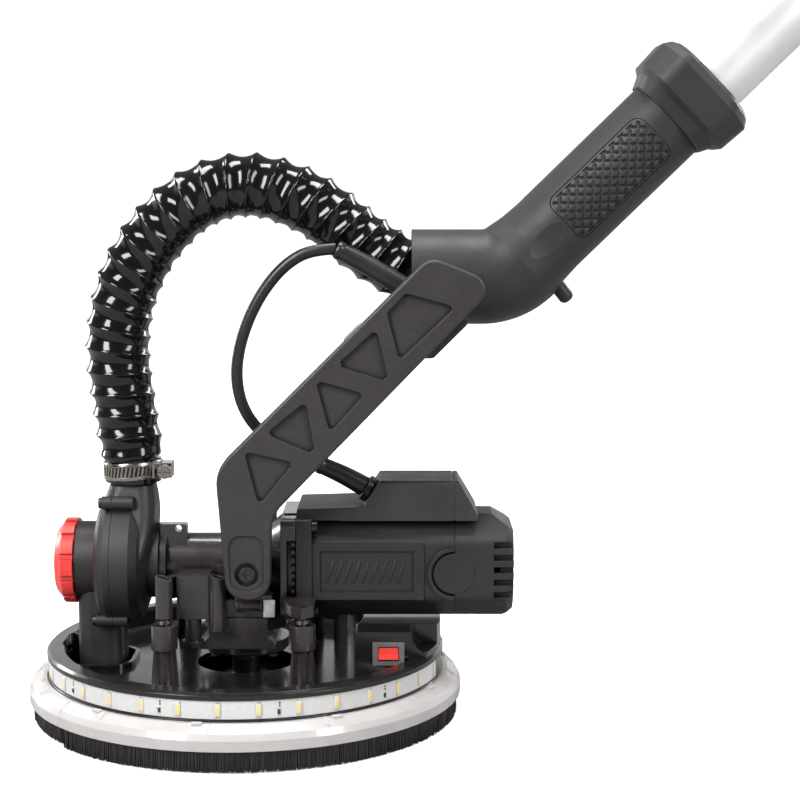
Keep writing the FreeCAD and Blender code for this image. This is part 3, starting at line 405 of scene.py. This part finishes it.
FINISH = {
    "casing": moulded("casing", (0.0165, 0.0143, 0.0141), (0.0280, 0.0244, 0.0240), 0.46, (1500, 0.45), 1.7,
                      Specular_IOR_Level=0.5),
    "arm": moulded("arm_coat", (0.0275, 0.0236, 0.0236), (0.0395, 0.0343, 0.0343), 0.44, (1300, 0.6), 1.5,
                   edge=0.9 * MM, Coat_Weight=0.1, Coat_Roughness=0.3),
    "grip": moulded("soft_grip", (0.0235, 0.0203, 0.0205), (0.0335, 0.0292, 0.0295), 0.5, (2100, 0.5), 1.35,
                    edge=0.7 * MM, Sheen_Weight=0.05, Specular_IOR_Level=0.38),
    "inlay": moulded("inlay_rubber", (0.0155, 0.0136, 0.0136), (0.0260, 0.0228, 0.0228), 0.5, (2400, 0.4),
                     1.5, edge=0.3 * MM),
    "casting": moulded("cast_paint", (0.0215, 0.0186, 0.0176), (0.0365, 0.0320, 0.0300), 0.28, (900, 0.8),
                       2.6, edge=0.8 * MM, Coat_Weight=0.6, Coat_Roughness=0.14),
    "shroud": moulded("shroud_gloss", (0.0075, 0.0068, 0.0066), (0.013, 0.0118, 0.0115), 0.2, (1100, 0.12),
                      1.8, edge=0.6 * MM, rough_spread=0.05, Coat_Weight=0.25, Coat_Roughness=0.08),
    "frame": clear_plastic("smoky_plastic", (0.15, 0.145, 0.14), (0.24, 0.235, 0.23), 0.3),
    "clear": clear_plastic("clear_plastic", (0.93, 0.895, 0.885), (0.99, 0.97, 0.96), 0.58),
    "bristle": bristle(),
    "hose": moulded("hose_film", (0.0030, 0.0028, 0.0028), (0.0062, 0.0056, 0.0056), 0.13, (420, 0.08), 1.5,
                    edge=0.2 * MM, rough_spread=0.03, Specular_IOR_Level=0.42, Coat_Weight=0.3,
                    Coat_Roughness=0.06),
    "lead": moulded("lead_rubber", (0.0120, 0.0105, 0.0104), (0.0210, 0.0185, 0.0183), 0.36, (1700, 0.3), 1.5,
                    edge=0.3 * MM),
    "steel": metal("bright_steel", (0.27, 0.245, 0.21), (0.50, 0.46, 0.41), 0.22, (1, 1, 6)),
    "aluminium": metal("anodised_aluminium", (0.90, 0.895, 0.895), (0.96, 0.955, 0.955), 0.38, (0.2, 6, 0.2),
                       scratch=0.02, scale=14, bare=0.55),
    "red": moulded("red_plastic", (0.74, 0.036, 0.030), (0.88, 0.066, 0.056), 0.33, (1500, 0.25), 1.12,
                   edge=0.5 * MM, Subsurface_Weight=0.08, Subsurface_Scale=0.002),
    "led": moulded("led_board", (0.63, 0.625, 0.62), (0.67, 0.66, 0.655), 0.4, (1200, 0.06), 1.03, blotch=12),
    "screw": metal("blackened_steel", (0.05, 0.048, 0.047), (0.13, 0.125, 0.12), 0.36, (1, 1, 1), scale=900),
    "copper": windings(),
    "foam": foam(),
    "abrasive": abrasive(),
    "carbon": moulded("carbon", (0.02, 0.02, 0.02), (0.05, 0.05, 0.05), 0.55),
}
PHOSPHOR = moulded("phosphor", (0.86, 0.60, 0.20), (0.95, 0.72, 0.30), 0.35, (2600, 0.3), 1.05, edge=0.1 * MM)
SOLDER = metal("solder", (0.62, 0.62, 0.60), (0.86, 0.86, 0.84), 0.3)
DARK_STEEL = metal("dark_steel", (0.10, 0.09, 0.085), (0.24, 0.22, 0.20), 0.3)
# black of the resistor chips, also the painted shade on the hose clamp's slot floors
BLACK_CHIP_AND_SLOT_SHADE = moulded("black_chip_and_slot_shade", (0.01, 0.01, 0.01), (0.03, 0.03, 0.03), 0.4, edge=0.1 * MM)


def wear(made, finish):
    made.data.materials.clear()
    made.data.materials.append(finish)
    return made


for subpart in frame["record"]["subparts"]:
    wear(frame["nodes"][subpart["node"]], FINISH[subpart["material_slot"]])


# ---- hose and lead ----
HOSE_ROUTE = [(-.067, 0, .1530), (-.072, 0, .186), (-.076, 0, .219), (-.071, 0, .253), (-.055, 0, .284),
              (-.028, 0, .310), (.006, 0, .318), (.041, 0, .306), (.067, 0, .285), (.086, 0, .271),
              (.102, 0, .2635)]
LEAD_ROUTE = [(.056, -.027, .279), (.042, -.027, .2785), (.028, -.027, .271), (.016, -.026, .258),
              (.006, -.025, .241), (-.001, -.023, .221), (-.003, -.021, .202), (.001, -.018, .184),
              (.011, -.015, .170), (.024, -.012, .161), (.034, -.010, .156), (.044, -.009, .151)]
ELBOW_RELIEF_ROUTE = [(.101, -.029, .2535), (.087, -.028, .262), (.072, -.027, .271), (.0563, -.027, .2788)]
MOTOR_RELIEF_ROUTE = [(.076, -.009, .1348), (.065, -.009, .1413), (.054, -.009, .1468), (.0444, -.009, .1508)]
HOSE_DIAMETER, LEAD_DIAMETER = 0.0395, 0.0069
HOSE_TURNS, HOSE_VALLEY = 25, 3.0 * MM
CUFF_RADIUS, CUFF_REACH = 16.7 * MM, 9 * MM
INSIDE_BEND = Vector((0.012, 0, 0.215))


def dust_hose():
    """Film hose over a wire helix: sharp crests, hollow valleys, creased inside the bend."""
    points = centreline(HOSE_ROUTE, 60)
    total = length_of(points)
    crest = HOSE_DIAMETER / 2 - 0.1 * MM

    def radius_at(distance, angle, index):
        phase = (distance / total * HOSE_TURNS + angle / (2 * math.pi) + 0.35) % 1.0
        hollow = math.sin(math.pi * phase) ** 0.78
        before, after = points[max(index - 1, 0)], points[min(index + 1, len(points) - 1)]
        up = Y.cross((after - before).normalized())
        out = Y * math.cos(angle) - up * math.sin(angle)
        towards = max(0.0, out.dot((INSIDE_BEND - points[index]).normalized()))
        crease = noise.noise(Vector((distance * 170, math.cos(angle) * 1.9, math.sin(angle) * 1.9)))
        dent = noise.noise(Vector((distance * 90, math.cos(angle) * 1.3 + 7, math.sin(angle) * 1.3)))
        depth = HOSE_VALLEY * (1 - 0.35 * towards) * (1 + 0.16 * dent)
        film = (0.07 + 0.55 * towards ** 2) * MM * crease * hollow
        worn_crest = 0.05 * MM * math.exp(-((min(phase, 1 - phase) / 0.05) ** 2))
        radius = crest - depth * hollow + film - worn_crest
        clear_of_cuff = min(1.0, distance / CUFF_REACH)
        radius = CUFF_RADIUS + (radius - CUFF_RADIUS) * clear_of_cuff ** 0.6
        return min(radius, crest)

    vertices, faces = tube(points, radius_at, 96)
    made = piece("dust_hose_film", vertices, faces, crease=180)
    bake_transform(made)
    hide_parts("dust_hose")
    return wear(made, FINISH["hose"])


def motor_lead():
    points = centreline(LEAD_ROUTE, 24)
    radius = LEAD_DIAMETER / 2
    vertices, faces = tube(points, lambda distance, angle, index: radius, 28)
    made = piece("motor_lead_cable", vertices, faces, crease=60)
    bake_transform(made)
    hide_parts("motor_lead")
    return wear(made, FINISH["lead"])


def relief(name, route, body, node, root, tip, collar):
    """A strain relief: collars at both ends and a sleeve that tapers to the lead."""
    points = centreline(route, 20)
    total = length_of(points)
    root_collar, tip_collar, rounding = 4.2 * MM, 3.0 * MM, 0.9 * MM

    def radius_at(distance, angle, index):
        share = distance / total
        radius = root + (tip - root) * share
        at_end = min(distance / rounding, (total - distance) / rounding, 1.0)
        if distance < root_collar:
            radius = collar
        elif total - distance < tip_collar:
            radius = tip + 0.45 * MM
        return radius - 0.7 * MM * (1 - at_end) ** 2

    vertices, faces = tube(points, radius_at, 40)
    made = piece(name, vertices, faces, body, 35)
    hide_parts(node)
    return wear(made, FINISH["lead"])


relief("elbow_relief_sleeve", ELBOW_RELIEF_ROUTE, "grip", "lead_relief_elbow", 6.4 * MM, 5.1 * MM, 7.4 * MM)
relief("motor_relief_sleeve", MOTOR_RELIEF_ROUTE, "head", "lead_relief_motor", 6.3 * MM, 5.0 * MM, 8.0 * MM)
dust_hose()
motor_lead()


# ---- brush ----
BRUSH_INNER, BRUSH_OUTER, BRUSH_TOP = 121.5 * MM, 127.1 * MM, 17.3 * MM
BRUSH_ROWS, STRAND_PITCH, STRAND_HALF = 6, 0.62 * MM, 0.23 * MM
RING_HALF, EDGE_FROM, EDGE_TO = 139.6, 140.4, 219.6     # degrees from +X, where the ring and its edge meet
EDGE_LIFT = 2.0 * MM


def brush(name, start, end, low, body, node):
    """Rows of nylon bristles in a dense strip, from start to end in degrees about Z."""
    vertices, faces = [], []

    def strand(angle, radius, bottom, thick, lean_out, lean_side):
        here = len(vertices)
        for height, share in ((bottom, 1.0), ((bottom + BRUSH_TOP) / 2, 0.35), (BRUSH_TOP, 0.0)):
            r = min(max(radius + lean_out * share, BRUSH_INNER), BRUSH_OUTER)
            turn = angle + lean_side * share / radius
            for dr, dt in ((-thick, -thick), (thick, -thick), (thick, thick), (-thick, thick)):
                reach, a = r + dr, turn + dt / radius
                vertices.append((reach * math.cos(a), reach * math.sin(a), height))
        for ring in (0, 4):
            for k in range(4):
                n = (k + 1) % 4
                faces.append((here + ring + k, here + ring + n, here + ring + 4 + n, here + ring + 4 + k))
        faces.append((here + 3, here + 2, here + 1, here))
        faces.append((here + 8, here + 9, here + 10, here + 11))

    for row in range(BRUSH_ROWS):
        radius = BRUSH_INNER + (BRUSH_OUTER - BRUSH_INNER) * (row + 0.5) / BRUSH_ROWS
        step = STRAND_PITCH / radius
        count = int(math.radians(end - start) / step)
        for k in range(count):
            angle = math.radians(start) + (k + 0.5 + random.uniform(-0.35, 0.35)) * step
            ragged = abs(random.gauss(0, 0.35 * MM)) + (random.random() < 0.04) * 0.9 * MM
            strand(angle, radius, low + ragged, STRAND_HALF, random.gauss(0, 0.3 * MM),
                   random.gauss(0, 0.35 * MM))
    made = piece(name, vertices, faces, body, 60)
    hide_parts(node)
    return wear(made, FINISH["bristle"])


def brush_core(name, start, end, low, body):
    """The bristles' packed middle, so that no light shows through the strip."""
    count = max(8, int((end - start) / 2))
    inner, outer, bottom = BRUSH_INNER + 0.9 * MM, BRUSH_OUTER - 0.9 * MM, low + 1.6 * MM
    profile = [(inner, bottom), (outer, bottom), (outer, BRUSH_TOP), (inner, BRUSH_TOP)]
    vertices, faces = [], []
    for k in range(count + 1):
        a = math.radians(start + (end - start) * k / count)
        vertices += [(r * math.cos(a), r * math.sin(a), z) for r, z in profile]
    for k in range(count):
        for n in range(4):
            m = (n + 1) % 4
            faces.append((4 * k + n, 4 * k + m, 4 * k + 4 + m, 4 * k + 4 + n))
    faces += [(3, 2, 1, 0), tuple(range(4 * count, 4 * count + 4))]
    return wear(piece(name, vertices, faces, body), FINISH["bristle"])


brush("brush_bristles", -RING_HALF, RING_HALF, 0.05 * MM, "shroud", "brush_ring")
brush_core("brush_core", -RING_HALF, RING_HALF, 0.0, "shroud")
brush("edge_bristles", EDGE_FROM, EDGE_TO, EDGE_LIFT, "edge_section", "edge_brush")
brush_core("edge_core", EDGE_FROM, EDGE_TO, EDGE_LIFT, "edge_section")


# ---- light strip ----
STRIP_LOW, STRIP_HIGH = (corner.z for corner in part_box("led_strip"))
STRIP_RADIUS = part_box("led_strip")[1].y
CHIP_STEP, FIRST_CHIP, CHIPS = 10.75, -2.8, range(-23, 8)     # degrees


def on_strip(theta, share):
    """A place on the strip, share of the way up it. theta is in degrees from -Y towards +X."""
    return on_circle(theta - 90, STRIP_RADIUS, STRIP_LOW + (STRIP_HIGH - STRIP_LOW) * share)


def strip_details():
    """Lamp chips round the strip, with solder at their ends and a resistor after every third."""
    chips, glow, solder, black = (bmesh.new() for _ in range(4))
    for k in CHIPS:
        theta = FIRST_CHIP + CHIP_STEP * k
        at = on_strip(theta, 0.5)
        add_block(chips, (3.0 * MM, 7.0 * MM, 0.8 * MM), at @ Matrix.Translation((0, 0, 0.3 * MM)), 0.15 * MM)
        add_block(glow, (2.1 * MM, 5.6 * MM, 0.3 * MM), at @ Matrix.Translation((0, 0, 0.65 * MM)), 0.08 * MM)
        for end in (-1, 1):
            add_block(solder, (2.4 * MM, 0.9 * MM, 0.35 * MM),
                      at @ Matrix.Translation((0, end * 3.85 * MM, 0.15 * MM)), 0.1 * MM)
        if k % 3 != 1 or k == CHIPS[-1]:
            continue
        middle = on_strip(theta + CHIP_STEP / 2, 0.45)
        add_block(black, (1.5 * MM, 2.6 * MM, 0.6 * MM), middle @ Matrix.Translation((0, -1 * MM, 0.25 * MM)),
                  0.1 * MM)
        for end in (-2.6, 0.6):
            add_block(solder, (1.5 * MM, 0.6 * MM, 0.62 * MM),
                      middle @ Matrix.Translation((0, end * MM, 0.26 * MM)), 0.1 * MM)
        for dot in (2.4, 3.9):
            add_turned(black, [(0, 0), (0, 0.55 * MM), (0.15 * MM, 0.5 * MM), (0.15 * MM, 0)],
                       middle @ Matrix.Translation((0.4 * MM, dot * MM, 0.01 * MM)), 12)
    for name, bm, finish in (("led_housings", chips, FINISH["led"]), ("led_phosphor", glow, PHOSPHOR),
                             ("led_solder", solder, SOLDER), ("led_resistors", black, BLACK_CHIP_AND_SLOT_SHADE)):
        wear(from_bmesh(name, bm, "shroud", 30), finish)


strip_details()


# ---- clear ring's moulded details ----
SEAM_STEP, FIRST_SEAM = 30, -94.9     # degrees
CLIP_STEP, FIRST_CLIP, CLIP_MARGIN = 36.7, -98, 3
WALL_RADIUS, WALL_HEIGHT = 129.35 * MM, 15.8 * MM
SLOPE_RADIUS, SLOPE_HEIGHT, SLOPE_LEAN = 124.3 * MM, 24.9 * MM, math.radians(-59)
LEDGE_RADIUS, LEDGE_HEIGHT = 122.3 * MM, 26.3 * MM


def ring_details(name, body, first, last):
    """Mould seams down the clear ring's wall and small clips on its ledge, from first to last degrees."""
    def within(azimuth, margin):
        return any(first + margin <= turn <= last - margin for turn in (azimuth, azimuth - 360))

    bm = bmesh.new()
    for k in range(12):
        azimuth = (FIRST_SEAM + SEAM_STEP * k) % 360
        if within(azimuth, 0):
            at = on_circle(azimuth, WALL_RADIUS, WALL_HEIGHT)
            add_block(bm, (1.1 * MM, 5.6 * MM, 0.5 * MM), at, 0.12 * MM)
            at = on_circle(azimuth, SLOPE_RADIUS, SLOPE_HEIGHT) @ Matrix.Rotation(SLOPE_LEAN, 4, "X")
            add_block(bm, (1.0 * MM, 6.4 * MM, 0.5 * MM), at, 0.12 * MM)
    for k in range(10):
        azimuth = (FIRST_CLIP + CLIP_STEP * k) % 360
        if within(azimuth, CLIP_MARGIN):
            at = on_circle(azimuth, LEDGE_RADIUS, LEDGE_HEIGHT)
            add_block(bm, (6.0 * MM, 1.6 * MM, 2.2 * MM), at, 0.3 * MM)
    return wear(from_bmesh(name, bm, body, 30), FINISH["clear"])


ring_details("ring_seams", "shroud", -139, 139)
ring_details("edge_seams", "edge_section", 141, 219)


# ---- float springs ----
POSTS = {"left_near": (-42, -59), "left_far": (-42, 59), "right_near": (37, -59), "right_far": (37, 59)}
SPRING_TURNS, COIL_RADIUS, SPRING_WIRE, FLOAT_TRAVEL = 2.5, 4.6 * MM, 0.42 * MM, 3.2 * MM


def springs():
    """Each sits pressed between its cup on the shroud and its seat under the head, as a fixed coil on the
    shroud.
    """
    low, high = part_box("float_springs")
    bottom, top = low.z + 0.5 * MM, high.z
    height, steps = top - bottom, int(SPRING_TURNS * 28)
    for place, (x, y) in POSTS.items():
        axis = Vector((x * MM, y * MM, 0))
        points = []
        for k in range(steps + 1):
            turn = 2 * math.pi * SPRING_TURNS * k / steps
            points.append(axis + Vector((COIL_RADIUS * math.cos(turn), COIL_RADIUS * math.sin(turn),
                                         bottom + (height - 0.5 * MM) * k / steps)))
        vertices, faces = tube(points, lambda distance, angle, index: SPRING_WIRE, 10,
                               lambda point, axis=axis: Vector((axis.x, axis.y, point.z)))
        made = piece(f"spring_{place}", vertices, faces, "shroud", 60)
        wear(made, DARK_STEEL)
        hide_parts("float_springs")
        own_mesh(made)


springs()


# ---- hose clamp ----
CLAMP_SLOTS, SLOT_LEAN, SLOT_DEPTH = 44, 0.012, 0.65 * MM
CLAMP_THICK, CLAMP_TILT = 0.9 * MM, math.radians(-2.5)


def clamp_band():
    """Perforated band: slots for the worm's thread, all round, their sunk floors flat black: partly the dark
    hose beneath, partly painted shade.
    """
    low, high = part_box("hose_clamp_band")
    centre, outer = (low + high) / 2, (high.x - low.x) / 2
    bm = bmesh.new()
    columns = CLAMP_SLOTS * 2
    edge, margin = 0.5 * MM, 0.22 * (high.z - low.z)
    levels = [low.z, low.z + edge, low.z + margin, high.z - margin, high.z - edge, high.z]
    radii = [outer - 0.35 * MM, outer, outer, outer, outer, outer - 0.35 * MM]
    rings = []
    for z, radius in zip(levels, radii):
        ring = []
        for k in range(columns):
            a = 2 * math.pi * (k - (0.12 if k % 2 else 0)) / columns + SLOT_LEAN * (z - centre.z) / MM
            ring.append(bm.verts.new((centre.x + radius * math.cos(a), radius * math.sin(a), z)))
        rings.append(ring)
    inner = []
    for end in (0, -1):
        share = (outer - CLAMP_THICK) / radii[end]
        inner.append([bm.verts.new((centre.x + (v.co.x - centre.x) * share, v.co.y * share, v.co.z))
                      for v in rings[end]])
    slot_faces = []
    for level in range(5):
        for k in range(columns):
            n = (k + 1) % columns
            face = bm.faces.new((rings[level][k], rings[level][n], rings[level + 1][n], rings[level + 1][k]))
            if level == 2 and k % 2:
                slot_faces.append(face)
    for k in range(columns):
        n = (k + 1) % columns
        bm.faces.new((inner[0][k], inner[0][n], rings[0][n], rings[0][k]))
        bm.faces.new((rings[-1][k], rings[-1][n], inner[1][n], inner[1][k]))
        bm.faces.new((inner[1][k], inner[1][n], inner[0][n], inner[0][k]))
    sunk = bmesh.ops.extrude_discrete_faces(bm, faces=slot_faces)["faces"]
    for face in sunk:
        # slot floors take the flat black second material: painted shade over the dark hose beneath
        face.material_index = 1
        out = face.calc_center_median() - Vector((centre.x, 0, 0))
        out.z = 0
        bmesh.ops.translate(bm, vec=-out.normalized() * SLOT_DEPTH, verts=face.verts)
    tilt = Matrix.Rotation(CLAMP_TILT, 4, "Y")
    bmesh.ops.transform(bm, matrix=Matrix.Translation(centre) @ tilt @ Matrix.Translation(-centre),
                        verts=bm.verts)
    made = from_bmesh("clamp_band", bm, "head", 35)
    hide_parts("hose_clamp_band")
    finish_of = [face.material_index for face in made.data.polygons]
    # second material: flat black on the slot floors, painted shade over the dark hose beneath
    wear(made, FINISH["steel"]).data.materials.append(BLACK_CHIP_AND_SLOT_SHADE)
    made.data.polygons.foreach_set("material_index", finish_of)
    return made


clamp_band()


# ---- small pieces on the head ----
FINS, FIRST_FIN, FIN_STEP = 8, 73.9 * MM, 4.68 * MM
HATCH_BARS, FIRST_BAR, BAR_STEP, BAR_LEAN = 9, 52 * MM, 5.2 * MM, math.radians(18)


def at_mm(x, y, z):
    return Matrix.Translation((x * MM, y * MM, z * MM))


def window_fins():
    """Fins of the bearing carrier, seen through the window on each side of the gear housing."""
    bm = bmesh.new()
    for side in (-1, 1):
        add_block(bm, (5.0 * MM, 0.8 * MM, 36.8 * MM), at_mm(29.15, side * 28.6, 90.25), 0.2 * MM)
        for k in range(FINS):
            at = Matrix.Translation((30.3 * MM, side * 30.2 * MM, FIRST_FIN + FIN_STEP * k))
            add_block(bm, (2.5 * MM, 3.2 * MM, 2.9 * MM), at, 0.35 * MM)
    return wear(from_bmesh("window_fins", bm, "head", 30), FINISH["casting"])


def drain_plug():
    """Knurled plug and its keeper plate, under the near pivot."""
    bm = bmesh.new()
    turn = at_mm(-3.0, -38.4, 71.6) @ Matrix.Rotation(math.pi / 2, 4, "Y")
    profile = [(0, 0), (0, 3.3 * MM), (0.5 * MM, 3.8 * MM)]
    for ring in range(3):
        low = (0.7 + 1.25 * ring) * MM
        profile += [(low, 4.0 * MM), (low + 0.7 * MM, 4.0 * MM), (low + 0.8 * MM, 3.4 * MM),
                    (low + 1.15 * MM, 3.4 * MM)]
    profile += [(4.7 * MM, 3.1 * MM), (14.0 * MM, 3.1 * MM), (14.2 * MM, 3.9 * MM), (15.4 * MM, 3.9 * MM),
                (15.4 * MM, 0)]
    add_turned(bm, profile, turn, 28)
    wear(from_bmesh("drain_plug", bm, "head", 30), FINISH["casting"])
    bm = bmesh.new()
    add_block(bm, (6.9 * MM, 1.6 * MM, 10.4 * MM), at_mm(16.6, -38.9, 70.0), 0.5 * MM)
    wear(from_bmesh("keeper_plate", bm, "head", 30), FINISH["aluminium"])


def hatch():
    """Plain raised hatching in the recessed panel on each side of the motor."""
    bm = bmesh.new()
    for side in (-1, 1):
        for k in range(HATCH_BARS):
            at = Matrix.Translation((FIRST_BAR + BAR_STEP * k, side * 30.75 * MM, 90.2 * MM))
            add_block(bm, (1.7 * MM, 0.9 * MM, 13.5 * MM), at @ Matrix.Rotation(-side * BAR_LEAN, 4, "Y"),
                      0.25 * MM)
    return wear(from_bmesh("motor_hatch", bm, "head", 30), FINISH["casing"])


window_fins()
drain_plug()
hatch()


# ---- knurled inlays ----
POLE_ANGLE = math.radians(44.2)
ELBOW_BEND = Vector((0.1546, 0, 0.2616))
TO_POLE = Matrix.Translation(ELBOW_BEND) @ Matrix.Rotation(math.pi / 2 - POLE_ANGLE, 4, "Y")
GRIP_SKIN, INLAY_SINK, INLAY_THICK = 25.35 * MM, 0.8 * MM, 1.05 * MM


def knurled_inlay(name, side):
    """Rows of small four-sided points inside a plain rim, wrapped on the grip.

    Its flat plan has x across the grip and s along the pole from the elbow's bend.
    """
    half_width, start, end, corner = 15.5 * MM, 46.6 * MM, 119.4 * MM, 6 * MM
    pitch, tall, rim_width, rim_rise = 4.6 * MM, 1.15 * MM, 1.5 * MM, 0.95 * MM
    columns, rows = 116, 288

    def inset(x, s):
        """How far a place lies inside the inlay's outline."""
        dx = abs(x) - (half_width - corner)
        ds = abs(s - (start + end) / 2) - ((end - start) / 2 - corner)
        if dx > 0 and ds > 0:
            return corner - math.hypot(dx, ds)
        return corner - max(dx, ds)

    def height(x, s):
        u, v = (x + s * 0.94) / (pitch * 1.414), (x - s * 0.94) / (pitch * 1.414)
        point = min(1 - abs(2 * (u % 1) - 1), 1 - abs(2 * (v % 1) - 1))
        return min(point, 0.62) / 0.62 * tall

    def plan(i, j):
        return -half_width + 2 * half_width * j / columns, start + (end - start) * i / rows

    def wrapped(x, s, radius):
        return TO_POLE @ Vector((x, side * math.sqrt(radius ** 2 - x ** 2), s))

    vertices, faces, index = [], [], {}
    for i in range(rows + 1):
        for j in range(columns + 1):
            x, s = plan(i, j)
            rim = inset(x, s)
            if rim < 0:
                continue
            rise = height(x, s) if rim > rim_width else rim_rise * min(1, rim / (0.3 * MM))
            index[(i, j)] = len(vertices)
            vertices.append(wrapped(x, s, GRIP_SKIN - INLAY_SINK + rise))
    top = len(vertices)
    for i, j in index:
        vertices.append(wrapped(*plan(i, j), GRIP_SKIN - INLAY_THICK))
    used = set()
    for i in range(rows):
        for j in range(columns):
            keys = [(i, j), (i, j + 1), (i + 1, j + 1), (i + 1, j)]
            if all(key in index for key in keys):
                loop = [index[key] for key in keys]
                faces.append(tuple(loop))
                faces.append(tuple(top + v for v in reversed(loop)))
                used.update(zip(loop, loop[1:] + loop[:1]))
    for a, b in sorted(used):
        if (b, a) not in used:
            faces.append((b, a, top + a, top + b))
    kept = sorted({v for face in faces for v in face})
    renumbered = {old: new for new, old in enumerate(kept)}
    faces = [tuple(renumbered[v] for v in (face if side < 0 else reversed(face))) for face in faces]
    made = piece(name, [vertices[v] for v in kept], faces, "grip", 25)
    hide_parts("grip_inlays")
    return wear(made, FINISH["inlay"])


knurled_inlay("inlay_near", -1)
knurled_inlay("inlay_far", 1)


# ---- floor and light ----
def studio():
    """White paper floor and backdrop, grey from the sides, with five softboxes."""
    mesh = bpy.data.meshes.new("floor")
    reach = 60.0
    mesh.from_pydata([(-reach, -reach, 0), (reach, -reach, 0), (reach, reach, 0), (-reach, reach, 0)], [],
                     [(0, 1, 2, 3)])
    floor = bpy.data.objects.new("floor", mesh)
    floor.location.z = CAD_BOX[0].z - 0.2 * MM
    bpy.context.scene.collection.objects.link(floor)
    g = Graph("floor_paper")
    seen = g.add("ShaderNodeLightPath").outputs["Is Camera Ray"]
    tone = g.mix(g.between(g.noise(3), 0, 1), (0.90, 0.90, 0.90), (0.93, 0.93, 0.93))
    far = g.add("ShaderNodeVectorMath", operation="LENGTH")
    g.join(g.place, far.inputs[0])
    glow = g.add("ShaderNodeMath", operation="MULTIPLY")
    g.join(seen, glow.inputs[0])
    g.join(g.between(far.outputs["Value"], 0.6, 1.0, 0.6, 2.4), glow.inputs[1])
    wear(floor, g.set(Base_Color=g.mix(seen, (0.26, 0.26, 0.26), tone), Roughness=0.9,
                      Emission_Color=(1.0, 1.0, 1.0), Emission_Strength=glow.outputs["Value"]))

    world = bpy.data.worlds.new("studio")
    bpy.context.scene.world = world
    world.use_nodes = True
    nodes, links = world.node_tree.nodes, world.node_tree.links
    place = nodes.new("ShaderNodeTexCoord")
    split = nodes.new("ShaderNodeSeparateXYZ")
    ramp = nodes.new("ShaderNodeValToRGB")
    links.new(place.outputs["Generated"], split.inputs[0])
    links.new(split.outputs["Z"], ramp.inputs["Fac"])
    stops = ramp.color_ramp.elements
    stops[0].position, stops[0].color = 0.255, (1.0, 0.99, 0.985, 1)
    stops[1].position, stops[1].color = 0.275, (0.19, 0.187, 0.185, 1)
    behind = nodes.new("ShaderNodeMapRange")
    behind.inputs["From Min"].default_value, behind.inputs["From Max"].default_value = -0.25, 0.25
    links.new(split.outputs["Y"], behind.inputs["Value"])
    seen = nodes.new("ShaderNodeLightPath")
    front, backdrop = nodes.new("ShaderNodeMix"), nodes.new("ShaderNodeMix")
    front.data_type = backdrop.data_type = "RGBA"
    front.inputs["A"].default_value = (0.085, 0.083, 0.082, 1)
    links.new(behind.outputs["Result"], front.inputs["Factor"])
    links.new(ramp.outputs["Color"], front.inputs["B"])
    backdrop.inputs["B"].default_value = (1, 1, 1, 1)
    links.new(seen.outputs["Is Camera Ray"], backdrop.inputs["Factor"])
    links.new(front.outputs["Result"], backdrop.inputs["A"])
    links.new(backdrop.outputs["Result"], nodes["Background"].inputs["Color"])
    nodes["Background"].inputs["Strength"].default_value = 1.05

    def softbox(name, at, aim, size, power):
        lamp = bpy.data.lights.new(name, "AREA")
        lamp.shape, lamp.size, lamp.size_y = "RECTANGLE", size[0], size[1]
        lamp.energy = power
        held = bpy.data.objects.new(name, lamp)
        held.location = at
        held.rotation_euler = (Vector(aim) - Vector(at)).to_track_quat("-Z", "Y").to_euler()
        bpy.context.scene.collection.objects.link(held)

    softbox("key", (-1.0, -1.25, 1.25), (0.0, 0, 0.2), (0.62, 1.5), 46)
    softbox("fill", (1.35, -1.15, 0.9), (0.1, 0, 0.2), (0.45, 1.3), 19)
    softbox("top", (0.15, 0.1, 1.9), (0.1, 0, 0.2), (1.3, 0.5), 30)
    softbox("back_left", (-1.4, 1.0, 0.7), (0, 0, 0.2), (0.35, 1.2), 18)
    softbox("back_right", (1.5, 1.4, 1.1), (0.2, 0, 0.3), (0.4, 1.2), 16)


studio()
bpy.context.scene.view_settings.view_transform = "Standard"
